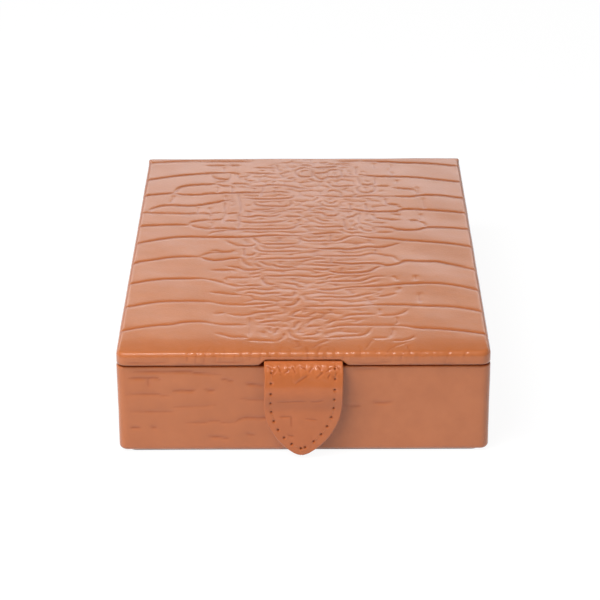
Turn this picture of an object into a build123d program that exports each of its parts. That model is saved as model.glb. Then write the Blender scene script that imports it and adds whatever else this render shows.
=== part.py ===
from build123d import *
import math
import os

# A leather-covered travel jewelry box: case, hinged lid and a closing tab.
# Origin: centre of the underside. +Z is up, the tab faces -Y, the hinge runs along X at +Y.
# All sizes are in millimetres.

# Case
CASE_W = 127.2
CASE_D = 184.0
CASE_H = 33.6
CASE_CORNER_R = 3.0
CASE_BOTTOM_R = 2.0
RIM_R = 0.8
WALL_BOARD_T = 3.0
BASE_BOARD_T = 2.5
BASE_COVER_T = 0.8
BASE_COVER_MARGIN = 2.2

# Leather and the way it is turned over the boards
LEATHER_T = 1.0
UNDER_TURN_IN = 14.0
RIM_TURN_IN = 12.0

# Lid
LID_SIDE_LIP = 0.4
LID_FRONT_LIP = 1.0
LID_BOARD_T = 2.2
LID_PADDING_T = 1.2
LID_CORNER_R = 3.5
LID_TOP_R = 1.7
LID_BOTTOM_R = 0.8
LID_SEAT_GAP = 0.3
LID_LINING_T = 1.6
LID_LINING_CLEARANCE = 1.0
MIRROR_MARGIN_X = 4.0
MIRROR_MARGIN_Y = 5.5
MIRROR_T = 1.5
MIRROR_FRAME_LAP = 4.0

# Hinge strips
SPINE_W = 112.0
SPINE_T = 1.0
SPINE_DROP = 14.0
INNER_HINGE_W = 108.0
INNER_HINGE_D = 3.6
INNER_HINGE_T = 0.8
INNER_HINGE_FOLD_GAP = 0.4

# Interior
LINING_T = 1.5
LINING_BELOW_RIM = 2.0
LINING_TOP_R = 0.6
FLOOR_PAD_T = 1.5
DIVIDER_T = 2.0
DIVIDER_H = 21.0
DIVIDER_TOP_R = 0.8
LONG_DIVIDER_X = 0.0
SHORT_DIVIDER_Y = 32.0
RING_BAY_D = 60.0
ROLL_COUNT = 4
ROLL_H = 17.0
ROLL_END_R = 1.5

# Closing tab
TAB_W = 27.0
TAB_LEATHER_T = 1.0
TAB_LINING_T = 0.8
TAB_LENGTH = 29.2
TAB_ROOT_LENGTH = 10.0
TAB_SIDE_R = 23.0
TAB_NOSE_R = 5.5
TAB_SLOT_CLEARANCE = 0.4
TAB_NOTCH_GAP = 0.35
TAB_NOTCH_R = 0.8
STITCH_INSET = 2.6
STITCH_PITCH = 3.7
STITCH_L = 2.6
STITCH_W = 0.7
STITCH_T = 0.35

# Magnetic closure
CLOSURE_R = 7.0
CLOSURE_PLATE_T = 1.0
CLOSURE_GAP = 0.4
CLOSURE_EDGE_R = 0.3
MAGNET_CUP_T = 1.8
MAGNET_R = 5.4
MAGNET_T = 1.2
MAGNET_ABOVE_TIP = 13.0

# Clearances
SHEET_GAP = 0.05
SOFT_GAP = 0.3
CUT_OVERRUN = 1.0

# Planes and levels that several pieces share
CASE_FRONT_Y = -CASE_D / 2
CASE_BACK_Y = CASE_D / 2
LEATHER_UNDER_Z = BASE_COVER_T
BOARD_UNDER_Z = LEATHER_UNDER_Z + LEATHER_T
BASE_TOP_Z = BOARD_UNDER_Z + BASE_BOARD_T
FLOOR_Z = BASE_TOP_Z + FLOOR_PAD_T
WALL_T = LEATHER_T + WALL_BOARD_T
BOARD_TOP_Z = CASE_H - LEATHER_T
WALL_INNER_X = CASE_W / 2 - WALL_T
WALL_INNER_Y = CASE_D / 2 - WALL_T
LINING_INNER_X = WALL_INNER_X - LINING_T
LINING_INNER_Y = WALL_INNER_Y - LINING_T
LINING_TOP_Z = CASE_H - LINING_BELOW_RIM

LID_W = CASE_W + 2 * LID_SIDE_LIP
LID_UNDER_Z = CASE_H + LID_SEAT_GAP
LID_BOARD_Z = LID_UNDER_Z + LEATHER_T
LID_PADDING_Z = LID_BOARD_Z + LID_BOARD_T
LID_SKIN_Z = LID_PADDING_Z + LID_PADDING_T
LID_TOP_Z = LID_SKIN_Z + LEATHER_T
LID_FRONT_Y = CASE_FRONT_Y - LID_FRONT_LIP
LID_BACK_Y = CASE_BACK_Y
LID_MIDDLE_Y = (LID_FRONT_Y + LID_BACK_Y) / 2
MIRROR_HALF_X = LID_W / 2 - UNDER_TURN_IN - MIRROR_MARGIN_X
MIRROR_HALF_Y = LID_BACK_Y - LID_MIDDLE_Y - UNDER_TURN_IN - MIRROR_MARGIN_Y

TAB_T = TAB_LEATHER_T + TAB_LINING_T
TAB_STANDOFF = CLOSURE_PLATE_T + CLOSURE_GAP + MAGNET_CUP_T
BEND_INNER_R = TAB_STANDOFF
BEND_OUTER_R = BEND_INNER_R + TAB_T
BEND_Y = CASE_FRONT_Y
BEND_Z = LID_UNDER_Z - BEND_INNER_R
TAB_INNER_Y = BEND_Y - BEND_INNER_R
TAB_FACE_Y = BEND_Y - BEND_OUTER_R
TAB_TIP_Z = BEND_Z - TAB_LENGTH
CLOSURE_Z = TAB_TIP_Z + MAGNET_ABOVE_TIP


def block(x0, x1, y0, y1, z0, z1):
    """A plain block between six planes."""
    centre = Pos((x0 + x1) / 2, (y0 + y1) / 2, (z0 + z1) / 2)
    return centre * Box(x1 - x0, y1 - y0, z1 - z0)


def centred_block(half_x, half_y, z0, z1):
    """A block centred on the Z axis in plan."""
    return block(-half_x, half_x, -half_y, half_y, z0, z1)


def rounded_slab(half_x, y0, y1, z0, z1, corner_r):
    """A block whose four upright corners are rounded."""
    outline = Pos(0, (y0 + y1) / 2, z0) * RectangleRounded(2 * half_x, y1 - y0, corner_r)
    return extrude(outline, z1 - z0)


def frame(half_x, half_y, hole_half_x, hole_half_y, z0, z1):
    """A rectangular ring, centred on the Z axis in plan."""
    outer = centred_block(half_x, half_y, z0, z1)
    return outer - centred_block(hole_half_x, hole_half_y, z0, z1)


def round_top(solid, radius):
    """Rounds every edge of the top face."""
    return fillet(solid.edges().group_by(Axis.Z)[-1], radius)


def round_bottom(solid, radius):
    """Rounds every edge of the bottom face."""
    return fillet(solid.edges().group_by(Axis.Z)[0], radius)


def disc(radius, y0, y1, z):
    """A disc whose axis runs along Y."""
    return Pos(0, (y0 + y1) / 2, z) * Rot(X=90) * Cylinder(radius, y1 - y0)


# Case shell


def case_board_envelope():
    """The space that the wall boards and the base fill inside the leather."""
    envelope = rounded_slab(
        CASE_W / 2 - LEATHER_T,
        CASE_FRONT_Y + LEATHER_T,
        CASE_BACK_Y - LEATHER_T,
        BOARD_UNDER_Z,
        BOARD_TOP_Z,
        CASE_CORNER_R - LEATHER_T,
    )
    return round_bottom(envelope, CASE_BOTTOM_R - LEATHER_T)


def rim_turn_in():
    """The leather that comes over the rim and down the inside of the walls."""
    return frame(
        WALL_INNER_X + LEATHER_T,
        WALL_INNER_Y + LEATHER_T,
        WALL_INNER_X,
        WALL_INNER_Y,
        CASE_H - RIM_TURN_IN,
        BOARD_TOP_Z,
    )


def case_leather():
    """The leather cover: four walls, the rim and the edges turned in above and below."""
    skin = rounded_slab(
        CASE_W / 2, CASE_FRONT_Y, CASE_BACK_Y, LEATHER_UNDER_Z, CASE_H, CASE_CORNER_R
    )
    skin = round_bottom(round_top(skin, RIM_R), CASE_BOTTOM_R)
    skin -= case_board_envelope()
    skin -= centred_block(WALL_INNER_X, WALL_INNER_Y, BOARD_UNDER_Z, CASE_H + CUT_OVERRUN)
    skin -= centred_block(
        CASE_W / 2 - UNDER_TURN_IN,
        CASE_D / 2 - UNDER_TURN_IN,
        LEATHER_UNDER_Z - CUT_OVERRUN,
        BOARD_UNDER_Z + CUT_OVERRUN,
    )
    return skin + rim_turn_in()


def wall_boards():
    """The four wall boards: front and back run full width, the sides fit between them."""
    walls = case_board_envelope() - rim_turn_in()
    outer_x = CASE_W / 2
    outer_y = CASE_D / 2
    z0, z1 = 0, CASE_H
    return {
        "front_board": walls & block(-outer_x, outer_x, -outer_y, -WALL_INNER_Y, z0, z1),
        "back_board": walls & block(-outer_x, outer_x, WALL_INNER_Y, outer_y, z0, z1),
        "left_board": walls
        & block(-outer_x, -WALL_INNER_X, -WALL_INNER_Y, WALL_INNER_Y, z0, z1),
        "right_board": walls
        & block(WALL_INNER_X, outer_x, -WALL_INNER_Y, WALL_INNER_Y, z0, z1),
    }


def base_board():
    """The floor board, let in between the wall boards."""
    return centred_block(
        WALL_INNER_X - SHEET_GAP, WALL_INNER_Y - SHEET_GAP, BOARD_UNDER_Z, BASE_TOP_Z
    )


def base_infill():
    """The card that levels the underside inside the turned-in leather."""
    return centred_block(
        CASE_W / 2 - UNDER_TURN_IN - SHEET_GAP,
        CASE_D / 2 - UNDER_TURN_IN - SHEET_GAP,
        LEATHER_UNDER_Z,
        BOARD_UNDER_Z,
    )


def base_cover():
    """The sheet under the box that hides the turned-in edges. The box rests on it."""
    return rounded_slab(
        CASE_W / 2 - BASE_COVER_MARGIN,
        CASE_FRONT_Y + BASE_COVER_MARGIN,
        CASE_BACK_Y - BASE_COVER_MARGIN,
        0,
        BASE_COVER_T,
        CASE_CORNER_R,
    )


# Interior


def floor_pad():
    """The covered pad that fills the floor between the wall boards."""
    return centred_block(
        WALL_INNER_X - SHEET_GAP, WALL_INNER_Y - SHEET_GAP, BASE_TOP_Z, FLOOR_Z
    )


def lining_panels():
    """Covered cards on the four walls, standing on the floor pad."""
    long_x = WALL_INNER_X - SHEET_GAP
    short_y = LINING_INNER_Y - SHEET_GAP
    panels = {
        "lining_front": (-long_x, long_x, -WALL_INNER_Y, -LINING_INNER_Y),
        "lining_back": (-long_x, long_x, LINING_INNER_Y, WALL_INNER_Y),
        "lining_left": (-WALL_INNER_X, -LINING_INNER_X, -short_y, short_y),
        "lining_right": (LINING_INNER_X, WALL_INNER_X, -short_y, short_y),
    }
    return {
        name: round_top(block(*plan, FLOOR_Z, LINING_TOP_Z), LINING_TOP_R)
        for name, plan in panels.items()
    }


def dividers():
    """One divider across the box, one along it behind that, and a short one on the right."""
    top_z = FLOOR_Z + DIVIDER_H
    cross_y0 = -LINING_INNER_Y + RING_BAY_D
    cross_y1 = cross_y0 + DIVIDER_T
    end_x = LINING_INNER_X - SHEET_GAP
    long_x1 = LONG_DIVIDER_X + DIVIDER_T / 2
    plans = {
        "divider_cross": (-end_x, end_x, cross_y0, cross_y1),
        "divider_long": (
            LONG_DIVIDER_X - DIVIDER_T / 2,
            long_x1,
            cross_y1 + SHEET_GAP,
            LINING_INNER_Y - SHEET_GAP,
        ),
        "divider_short": (
            long_x1 + SHEET_GAP,
            end_x,
            SHORT_DIVIDER_Y - DIVIDER_T / 2,
            SHORT_DIVIDER_Y + DIVIDER_T / 2,
        ),
    }
    return {
        name: round_top(block(*plan, FLOOR_Z, top_z), DIVIDER_TOP_R)
        for name, plan in plans.items()
    }


def ring_rolls():
    """Round-topped padded rolls side by side. Rings stand in the slits between them."""
    depth = (RING_BAY_D - (ROLL_COUNT + 1) * SOFT_GAP) / ROLL_COUNT
    crown_r = depth / 2
    half_length = LINING_INNER_X - SOFT_GAP
    side_h = ROLL_H - crown_r
    rolls = {}
    for number in range(ROLL_COUNT):
        y = -LINING_INNER_Y + SOFT_GAP + crown_r + number * (depth + SOFT_GAP)
        section = Pos(0, side_h / 2) * Rectangle(depth, side_h)
        section += Pos(0, side_h) * Circle(crown_r)
        upright = Plane.YZ.offset(-half_length) * section
        roll = Pos(0, y, FLOOR_Z) * extrude(upright, 2 * half_length)
        crown_ends = roll.edges().filter_by(GeomType.CIRCLE)
        rolls[f"ring_roll_{number + 1}"] = fillet(crown_ends, ROLL_END_R)
    return rolls


# Lid


def lid_inside(side_gap, z0, z1):
    """A slab with the plan of the space inside the lid's leather."""
    inset = LEATHER_T + side_gap
    return rounded_slab(
        LID_W / 2 - inset,
        LID_FRONT_Y + inset,
        LID_BACK_Y - inset,
        z0,
        z1,
        LID_CORNER_R - inset,
    )


def lid_window(side_gap, z0, z1):
    """The field that the turned-in leather leaves open on the lid's underside."""
    inset = UNDER_TURN_IN + side_gap
    return block(
        -LID_W / 2 + inset,
        LID_W / 2 - inset,
        LID_FRONT_Y + inset,
        LID_BACK_Y - inset,
        z0,
        z1,
    )


def tab_slot():
    """The recess over the tab's root, with a taller notch in the lid's front edge."""
    half_x = TAB_W / 2 + TAB_SLOT_CLEARANCE
    back_y = BEND_Y + TAB_ROOT_LENGTH + TAB_SLOT_CLEARANCE
    wall_back_y = LID_FRONT_Y + LEATHER_T
    low_z = LID_UNDER_Z - CUT_OVERRUN
    root_z = LID_UNDER_Z + TAB_T
    notch = block(
        -half_x, half_x, LID_FRONT_Y - CUT_OVERRUN, wall_back_y, low_z, root_z + TAB_NOTCH_GAP
    )
    upper_corners = notch.edges().filter_by(Axis.Y).group_by(Axis.Z)[-1]
    notch = fillet(upper_corners, TAB_NOTCH_R)
    return notch + block(-half_x, half_x, wall_back_y, back_y, low_z, root_z)


def lid_leather():
    """The leather over the padded lid board, turned in under all four edges."""
    skin = rounded_slab(
        LID_W / 2, LID_FRONT_Y, LID_BACK_Y, LID_UNDER_Z, LID_TOP_Z, LID_CORNER_R
    )
    skin = round_bottom(round_top(skin, LID_TOP_R), LID_BOTTOM_R)
    skin -= round_top(lid_inside(0, LID_BOARD_Z, LID_SKIN_Z), LID_TOP_R - LEATHER_T)
    skin -= lid_window(0, LID_UNDER_Z - CUT_OVERRUN, LID_BOARD_Z + CUT_OVERRUN)
    skin -= tab_slot()
    hinge_y0, hinge_y1 = inner_hinge_span()
    hinge_half_x = INNER_HINGE_W / 2 + SOFT_GAP
    return skin - block(
        -hinge_half_x,
        hinge_half_x,
        hinge_y0 - SOFT_GAP,
        hinge_y1 + CUT_OVERRUN,
        LID_UNDER_Z - CUT_OVERRUN,
        CASE_H + INNER_HINGE_T,
    )


def mirror_block(side_gap):
    """The mirror glass, widened all round by side_gap to give its pocket."""
    half_w = MIRROR_HALF_X + side_gap
    half_d = MIRROR_HALF_Y + side_gap
    return block(
        -half_w,
        half_w,
        LID_MIDDLE_Y - half_d,
        LID_MIDDLE_Y + half_d,
        LID_UNDER_Z,
        LID_UNDER_Z + MIRROR_T,
    )


def lid_boards():
    """The lid's board, the card inside the turned-in leather, and the padding on top."""
    pocket = mirror_block(SHEET_GAP)
    board = lid_inside(SHEET_GAP, LID_BOARD_Z, LID_PADDING_Z) - pocket - tab_slot()
    infill = lid_window(SHEET_GAP, LID_UNDER_Z, LID_BOARD_Z) - pocket
    padding = round_top(
        lid_inside(SHEET_GAP, LID_PADDING_Z, LID_SKIN_Z), LID_TOP_R - LEATHER_T
    )
    return {"lid_board": board, "lid_infill": infill, "lid_padding": padding}


def lid_lining():
    """The covered frame under the lid. It holds the mirror and drops inside the rim."""
    half_x = WALL_INNER_X - LID_LINING_CLEARANCE
    half_y = WALL_INNER_Y - LID_LINING_CLEARANCE
    low_z = LID_UNDER_Z - LID_LINING_T
    panel = round_bottom(centred_block(half_x, half_y, low_z, LID_UNDER_Z), LINING_TOP_R)
    sight_half_w = MIRROR_HALF_X - MIRROR_FRAME_LAP
    sight_half_d = MIRROR_HALF_Y - MIRROR_FRAME_LAP
    return panel - block(
        -sight_half_w,
        sight_half_w,
        LID_MIDDLE_Y - sight_half_d,
        LID_MIDDLE_Y + sight_half_d,
        low_z - CUT_OVERRUN,
        LID_UNDER_Z + CUT_OVERRUN,
    )


# Hinge


def spine_leather():
    """The strip glued down the back of the lid and of the case. It is the hinge."""
    top_z = LID_TOP_Z - LID_TOP_R
    return block(
        -SPINE_W / 2,
        SPINE_W / 2,
        CASE_BACK_Y,
        CASE_BACK_Y + SPINE_T,
        CASE_H - SPINE_DROP,
        top_z,
    )


def inner_hinge_span():
    """Where the folded inner strip starts and ends on the back rim."""
    y1 = CASE_BACK_Y - INNER_HINGE_FOLD_GAP
    return y1 - INNER_HINGE_D, y1


def inner_hinge():
    """The strip folded double between the back rim and the lid."""
    y0, y1 = inner_hinge_span()
    half_x = INNER_HINGE_W / 2
    return block(-half_x, half_x, y0, y1, CASE_H, CASE_H + INNER_HINGE_T)


# Tab


def tab_outline(inset):
    """Edges of the tab's outline below the bend, drawn in from its real edge by inset."""
    half_w = TAB_W / 2 - inset
    side_r = TAB_SIDE_R - inset
    nose_r = TAB_NOSE_R - inset
    turn = math.degrees(math.acos((side_r - half_w) / (side_r - nose_r)))
    nose_z = TAB_TIP_Z + inset + nose_r
    side_z = nose_z + (side_r - nose_r) * math.sin(math.radians(turn))
    left_side = Line((-half_w, BEND_Z), (-half_w, side_z))
    left_arc = CenterArc((side_r - half_w, side_z), side_r, 180, turn)
    nose = CenterArc((0, nose_z), nose_r, 180 + turn, 180 - 2 * turn)
    right_arc = CenterArc((half_w - side_r, side_z), side_r, -turn, turn)
    right_side = Line((half_w, side_z), (half_w, BEND_Z))
    return [left_side, left_arc, nose, right_arc, right_side]


def tab_ply(back_y, thickness):
    """One ply of the hanging tab, from back_y towards the front."""
    half_w = TAB_W / 2
    closing_line = Line((half_w, BEND_Z), (-half_w, BEND_Z))
    outline = make_face(tab_outline(0) + [closing_line])
    return extrude(Plane.XZ.offset(-back_y) * outline, thickness)


def tab_stitches():
    """The stitches that show on the tab's face, all round its edge."""
    seam = Wire(tab_outline(STITCH_INSET))
    count = round(seam.length / STITCH_PITCH)
    stitches = []
    for number in range(count):
        share = (number + 0.5) / count
        point = seam @ share
        heading = seam % share
        tilt = math.degrees(math.atan2(heading.Y, heading.X))
        place = Plane.XZ.offset(-TAB_FACE_Y) * Pos(point.X, point.Y) * Rot(Z=tilt)
        stitches.append(place * Pos(0, 0, STITCH_T / 2) * Box(STITCH_L, STITCH_W, STITCH_T))
    return Compound(stitches)


def tab_root():
    """Both plies of the tab where they are glued under the lid's front edge."""
    return block(
        -TAB_W / 2, TAB_W / 2, BEND_Y, BEND_Y + TAB_ROOT_LENGTH, LID_UNDER_Z, LID_UNDER_Z + TAB_T
    )


def tab_bend():
    """Both plies of the tab where they bend round the case's top edge."""
    ring = Circle(BEND_OUTER_R) - Circle(BEND_INNER_R)
    quarter = ring & Pos(-BEND_OUTER_R / 2, BEND_OUTER_R / 2) * Rectangle(
        BEND_OUTER_R, BEND_OUTER_R
    )
    upright = Plane.YZ.offset(-TAB_W / 2) * Pos(BEND_Y, BEND_Z) * quarter
    return extrude(upright, TAB_W)


# Magnetic closure


def closure():
    """The plate on the case, and the cup with its magnet on the back of the tab."""
    plate_y = CASE_FRONT_Y - CLOSURE_PLATE_T
    plate = disc(CLOSURE_R, plate_y, CASE_FRONT_Y, CLOSURE_Z)
    plate = fillet(plate.edges().group_by(Axis.Y)[0], CLOSURE_EDGE_R)
    cup_mouth_y = TAB_INNER_Y + MAGNET_CUP_T
    cup = disc(CLOSURE_R, TAB_INNER_Y, cup_mouth_y, CLOSURE_Z)
    cup = fillet(cup.edges().group_by(Axis.Y)[-1], CLOSURE_EDGE_R)
    magnet_back_y = cup_mouth_y - MAGNET_T
    cup -= disc(MAGNET_R + SHEET_GAP, magnet_back_y, cup_mouth_y + CUT_OVERRUN, CLOSURE_Z)
    magnet = disc(MAGNET_R, magnet_back_y, cup_mouth_y - SHEET_GAP, CLOSURE_Z)
    return {"closure_plate": plate, "magnet_cup": cup, "closure_magnet": magnet}


def all_pieces():
    """Every piece of the box, by node name."""
    pieces = {
        "case_leather": case_leather(),
        "base_board": base_board(),
        "base_infill": base_infill(),
        "base_cover": base_cover(),
        "floor_pad": floor_pad(),
        "lid_leather": lid_leather(),
        "lid_lining": lid_lining(),
        "mirror": mirror_block(0),
        "spine_leather": spine_leather(),
        "inner_hinge": inner_hinge(),
        "tab_root": tab_root(),
        "tab_bend": tab_bend(),
        "tab_lining": tab_ply(TAB_INNER_Y, TAB_LINING_T),
        "tab_leather": tab_ply(TAB_INNER_Y - TAB_LINING_T, TAB_LEATHER_T),
        "tab_stitches": tab_stitches(),
    }
    for group in (wall_boards, lining_panels, dividers, ring_rolls, lid_boards, closure):
        pieces.update(group())
    return pieces


os.makedirs("parts", exist_ok=True)
for name, piece in all_pieces().items():
    export_step(piece, f"parts/{name}.step")
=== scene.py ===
"""Dress a leather travel jewelry box: lid, case, stitched closing tab, soft interior and studio.

Lengths are in millimetres, but those of the frame, the finishes and the studio in metres.
"""
import logging
import math
from dataclasses import dataclass
from enum import Enum
from typing import Callable, Sequence

import bmesh
import bpy
import numpy as np
from mathutils import Matrix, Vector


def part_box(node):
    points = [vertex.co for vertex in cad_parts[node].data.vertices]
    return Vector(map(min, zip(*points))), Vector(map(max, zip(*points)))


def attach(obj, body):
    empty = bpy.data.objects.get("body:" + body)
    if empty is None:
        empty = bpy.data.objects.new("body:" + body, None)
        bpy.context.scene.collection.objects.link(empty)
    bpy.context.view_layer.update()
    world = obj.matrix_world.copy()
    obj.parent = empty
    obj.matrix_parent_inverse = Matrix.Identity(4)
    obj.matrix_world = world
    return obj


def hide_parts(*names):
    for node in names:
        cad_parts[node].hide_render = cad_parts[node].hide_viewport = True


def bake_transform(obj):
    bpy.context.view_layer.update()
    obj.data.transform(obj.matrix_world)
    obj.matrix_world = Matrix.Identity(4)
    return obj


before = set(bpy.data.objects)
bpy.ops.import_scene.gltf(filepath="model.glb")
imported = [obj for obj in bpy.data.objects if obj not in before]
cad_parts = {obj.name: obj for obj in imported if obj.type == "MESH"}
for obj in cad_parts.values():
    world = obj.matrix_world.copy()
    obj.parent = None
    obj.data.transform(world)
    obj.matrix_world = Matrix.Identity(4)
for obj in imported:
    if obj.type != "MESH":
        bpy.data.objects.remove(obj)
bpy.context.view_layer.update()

LOG = logging.getLogger("jewelry_box")
MM = 0.001

Colour = tuple[float, float, float]
Point = tuple[float, float, float]
Pair = tuple[float, float]
Swell = tuple[float, int, float]
Array = np.ndarray
Piece, Material, Socket = bpy.types.Object, bpy.types.Material, bpy.types.NodeSocket


# Emboss: grooves drawn as strokes on the unrolled leather


class Groove(Enum):
    """Kinds of groove in the embossed leather, as (depth, half width)."""

    DEEP = (0.20, 0.38)
    MID = (0.12, 0.34)
    FINE = (0.09, 0.31)
    CREASE = (0.20, 0.24)
    LINE = (0.13, 0.34)
    FOLD = (0.07, 0.28)


D, M, F, L, C = Groove.DEEP, Groove.MID, Groove.FINE, Groove.LINE, Groove.CREASE
Stroke = tuple[Groove, tuple[float, ...]]


def drawn(kind: Groove, *rows: tuple[int, ...]) -> list[Stroke]:
    """Strokes of one kind, from rows of coordinate pairs in tenths of a millimetre."""
    return [(kind, tuple(value / 10 for value in row)) for row in rows]


# Pairs on the unrolled lid are x from its middle and v from its back edge.

# Long grooves of the left flank, from back to front
LEFT_FLANK = drawn(M,
    (-677, 56, -598, 44, -519, 33, -450, 29), (-678, 618, -623, 590, -589, 595, -539, 599, -489,
    602, -450, 608, -420, 600, -370, 603, -331, 595, -306, 601), (-445, 719, -430, 690, -400, 678,
    -375, 670, -331, 668, -311, 650), (-440, 714, -415, 740, -380, 755, -331, 756, -251, 757),
    (-360, 815, -348, 796, -316, 780, -291, 768, -202, 764, -93, 764, -43, 754, -28, 732, -13, 719,
    16, 715), (-385, 1029, -370, 1008, -345, 990, -301, 986, -251, 986), (-360, 1234, -330, 1248,
    -300, 1266, -270, 1287, -245, 1301, -211, 1301), (-330, 1437, -300, 1451, -270, 1459, -220,
    1465, -171, 1460, -111, 1455), (-320, 1622, -280, 1630, -240, 1631, -205, 1635)
) + drawn(D,
    (-678, 265, -598, 226, -549, 207, -499, 191, -440, 178, -381, 167, -311, 161), (-678, 419,
    -598, 402, -559, 392, -519, 383), (-519, 383, -509, 355, -499, 326, -475, 307, -430, 297, -381,
    292, -351, 288), (-519, 385, -480, 402, -420, 404, -381, 393, -331, 388, -282, 384, -212, 382,
    -143, 383), (-603, 574, -594, 549, -569, 526, -539, 514, -499, 516, -450, 522, -400, 510, -371,
    497, -341, 485, -316, 467, -281, 460), (-678, 738, -599, 722, -539, 717, -470, 717, -445, 723),
    (-678, 927, -608, 888, -569, 868, -529, 852, -489, 839, -440, 835, -380, 840, -301, 841, -221,
    841, -182, 835, -142, 827, -83, 828, -13, 832), (-678, 1118, -609, 1074, -569, 1058, -539,
    1048, -509, 1035, -469, 1029, -420, 1029, -385, 1032), (-385, 1033, -360, 1054, -330, 1062,
    -300, 1057, -271, 1046, -231, 1043), (-678, 1298, -609, 1266, -579, 1252, -549, 1242, -509,
    1232, -459, 1229, -400, 1230, -360, 1234), (-678, 1499, -609, 1469, -579, 1455, -539, 1440,
    -499, 1431, -439, 1430, -380, 1430, -330, 1437), (-679, 1700, -609, 1667, -569, 1651, -539,
    1641, -499, 1631, -459, 1626, -429, 1611, -399, 1605, -350, 1607, -320, 1622)
)

# Long grooves of the right flank
RIGHT_FLANK = drawn(D,
    (241, 35, 291, 39, 350, 45, 409, 56, 488, 64, 557, 77, 607, 91, 666, 106), (222, 190, 282, 208,
    351, 212, 420, 218, 469, 227, 519, 242, 568, 257, 608, 269, 667, 285), (352, 428, 372, 429,
    431, 434, 460, 420, 510, 418, 559, 426, 599, 442, 668, 459), (135, 560, 194, 566, 219, 580,
    263, 588, 313, 589, 362, 586, 387, 564, 432, 565, 481, 572, 531, 583, 580, 593, 610, 603, 669,
    618), (274, 746, 333, 753, 353, 769, 403, 779, 442, 773, 472, 752, 512, 751, 571, 756, 611,
    767, 670, 777), (205, 836, 255, 854, 324, 860, 374, 875, 433, 886, 493, 899, 552, 912, 612,
    936, 671, 962), (42, 1084, 97, 1091, 176, 1103, 236, 1098, 280, 1102, 305, 1118, 340, 1108,
    363, 1092, 380, 1075, 434, 1080, 494, 1082, 533, 1102, 573, 1122, 603, 1142, 673, 1177), (147,
    1318, 197, 1310, 247, 1306, 296, 1300, 336, 1289, 395, 1282, 475, 1281, 524, 1292, 564, 1307,
    594, 1322, 619, 1338, 674, 1367), (237, 1469, 297, 1466, 356, 1469, 416, 1476, 476, 1481, 525,
    1485, 565, 1497, 595, 1508, 620, 1523, 675, 1548), (337, 1643, 357, 1647, 397, 1662, 457, 1670,
    517, 1681, 576, 1696, 616, 1708, 676, 1729)
) + drawn(M,
    (45, 416, 85, 424, 144, 431, 213, 431, 273, 422, 322, 432, 362, 428), (456, 417, 446, 382, 431,
    357, 391, 346, 356, 339), (382, 558, 368, 532, 337, 512, 322, 506), (470, 746, 462, 711, 446,
    690, 430, 678), (-13, 842, -3, 872, 27, 884, 106, 882, 136, 875, 156, 859, 175, 839, 205, 836),
    (48, 1331, 98, 1335, 147, 1318), (-1, 1483, 78, 1481, 138, 1483, 197, 1479, 237, 1469), (79,
    1661, 109, 1650, 138, 1640, 238, 1640, 308, 1640, 357, 1647)
)

# Small scales of the middle, back third
MIDDLE_BACK = drawn(M,
    (-375, 177, -371, 203, -351, 229, -311, 237, -300, 218, -298, 178, -311, 161), (-351, 288,
    -331, 308, -290, 312), (-291, 312, -285, 347, -289, 382), (-292, 283, -252, 285, -228, 299,
    -222, 313), (-222, 315, -158, 315, -143, 302, -84, 308, -49, 320, -14, 336, 25, 345), (-264,
    380, -259, 422, -252, 482, -248, 541, -251, 601), (-311, 161, -272, 177, -266, 209, -237, 212),
    (-238, 168, -183, 173, -109, 178), (29, 126, -5, 114, -31, 141, -33, 175, -17, 207, 25, 211,
    35, 176, 29, 126), (-242, 442, -202, 450, -143, 455, -93, 453, -49, 441, -40, 414), (34, 110,
    84, 109, 118, 101, 143, 89), (35, 178, 74, 172, 98, 160, 111, 137, 148, 133), (36, 156, 46,
    206, 64, 238, 87, 236, 96, 216, 139, 220, 149, 206, 213, 216), (292, 318, 343, 319), (227, 312,
    213, 346, 223, 378, 255, 388, 278, 368, 284, 337, 276, 313, 233, 304), (102, 310, 144, 322,
    175, 316, 209, 310)
) + drawn(F,
    (-356, 288, -341, 265, -316, 252, -297, 238), (-349, 317, -343, 347, -348, 381), (-169, 318,
    -163, 348, -171, 383, -168, 418), (-515, 410, -519, 450, -529, 490), (-311, 412, -307, 461),
    (-331, 94, -325, 148), (-203, 111, -143, 114, -110, 115), (-112, 76, -106, 125, -92, 155),
    (-237, 218, -225, 199, -219, 174), (-240, 223, -230, 253, -198, 257), (-480, 30, -361, 34,
    -213, 36), (-401, 83, -321, 86), (-302, 82, -262, 84), (-69, 229, -39, 229), (-127, 286, -119,
    259), (-119, 363, -118, 388), (-143, 383, -93, 379, -54, 390), (133, 38, 192, 39, 230, 34),
    (-15, 82, 34, 87), (64, 53, 98, 52), (148, 88, 197, 83), (84, 63, 133, 74, 192, 64), (98, 161,
    96, 201), (151, 133, 153, 207), (214, 98, 212, 190), (287, 59, 290, 113), (352, 59, 356, 109,
    347, 149, 359, 178, 359, 208), (217, 216, 222, 257, 229, 296, 252, 303, 282, 295, 288, 257,
    286, 212), (377, 251, 372, 288), (452, 328, 456, 378, 460, 413), (98, 266, 107, 310), (93, 383,
    114, 365, 142, 385), (83, 472, 93, 494, 115, 500, 128, 474), (199, 431, 208, 401), (144, 375,
    148, 429), (35, 479, 51, 454, 55, 434)
)

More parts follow.
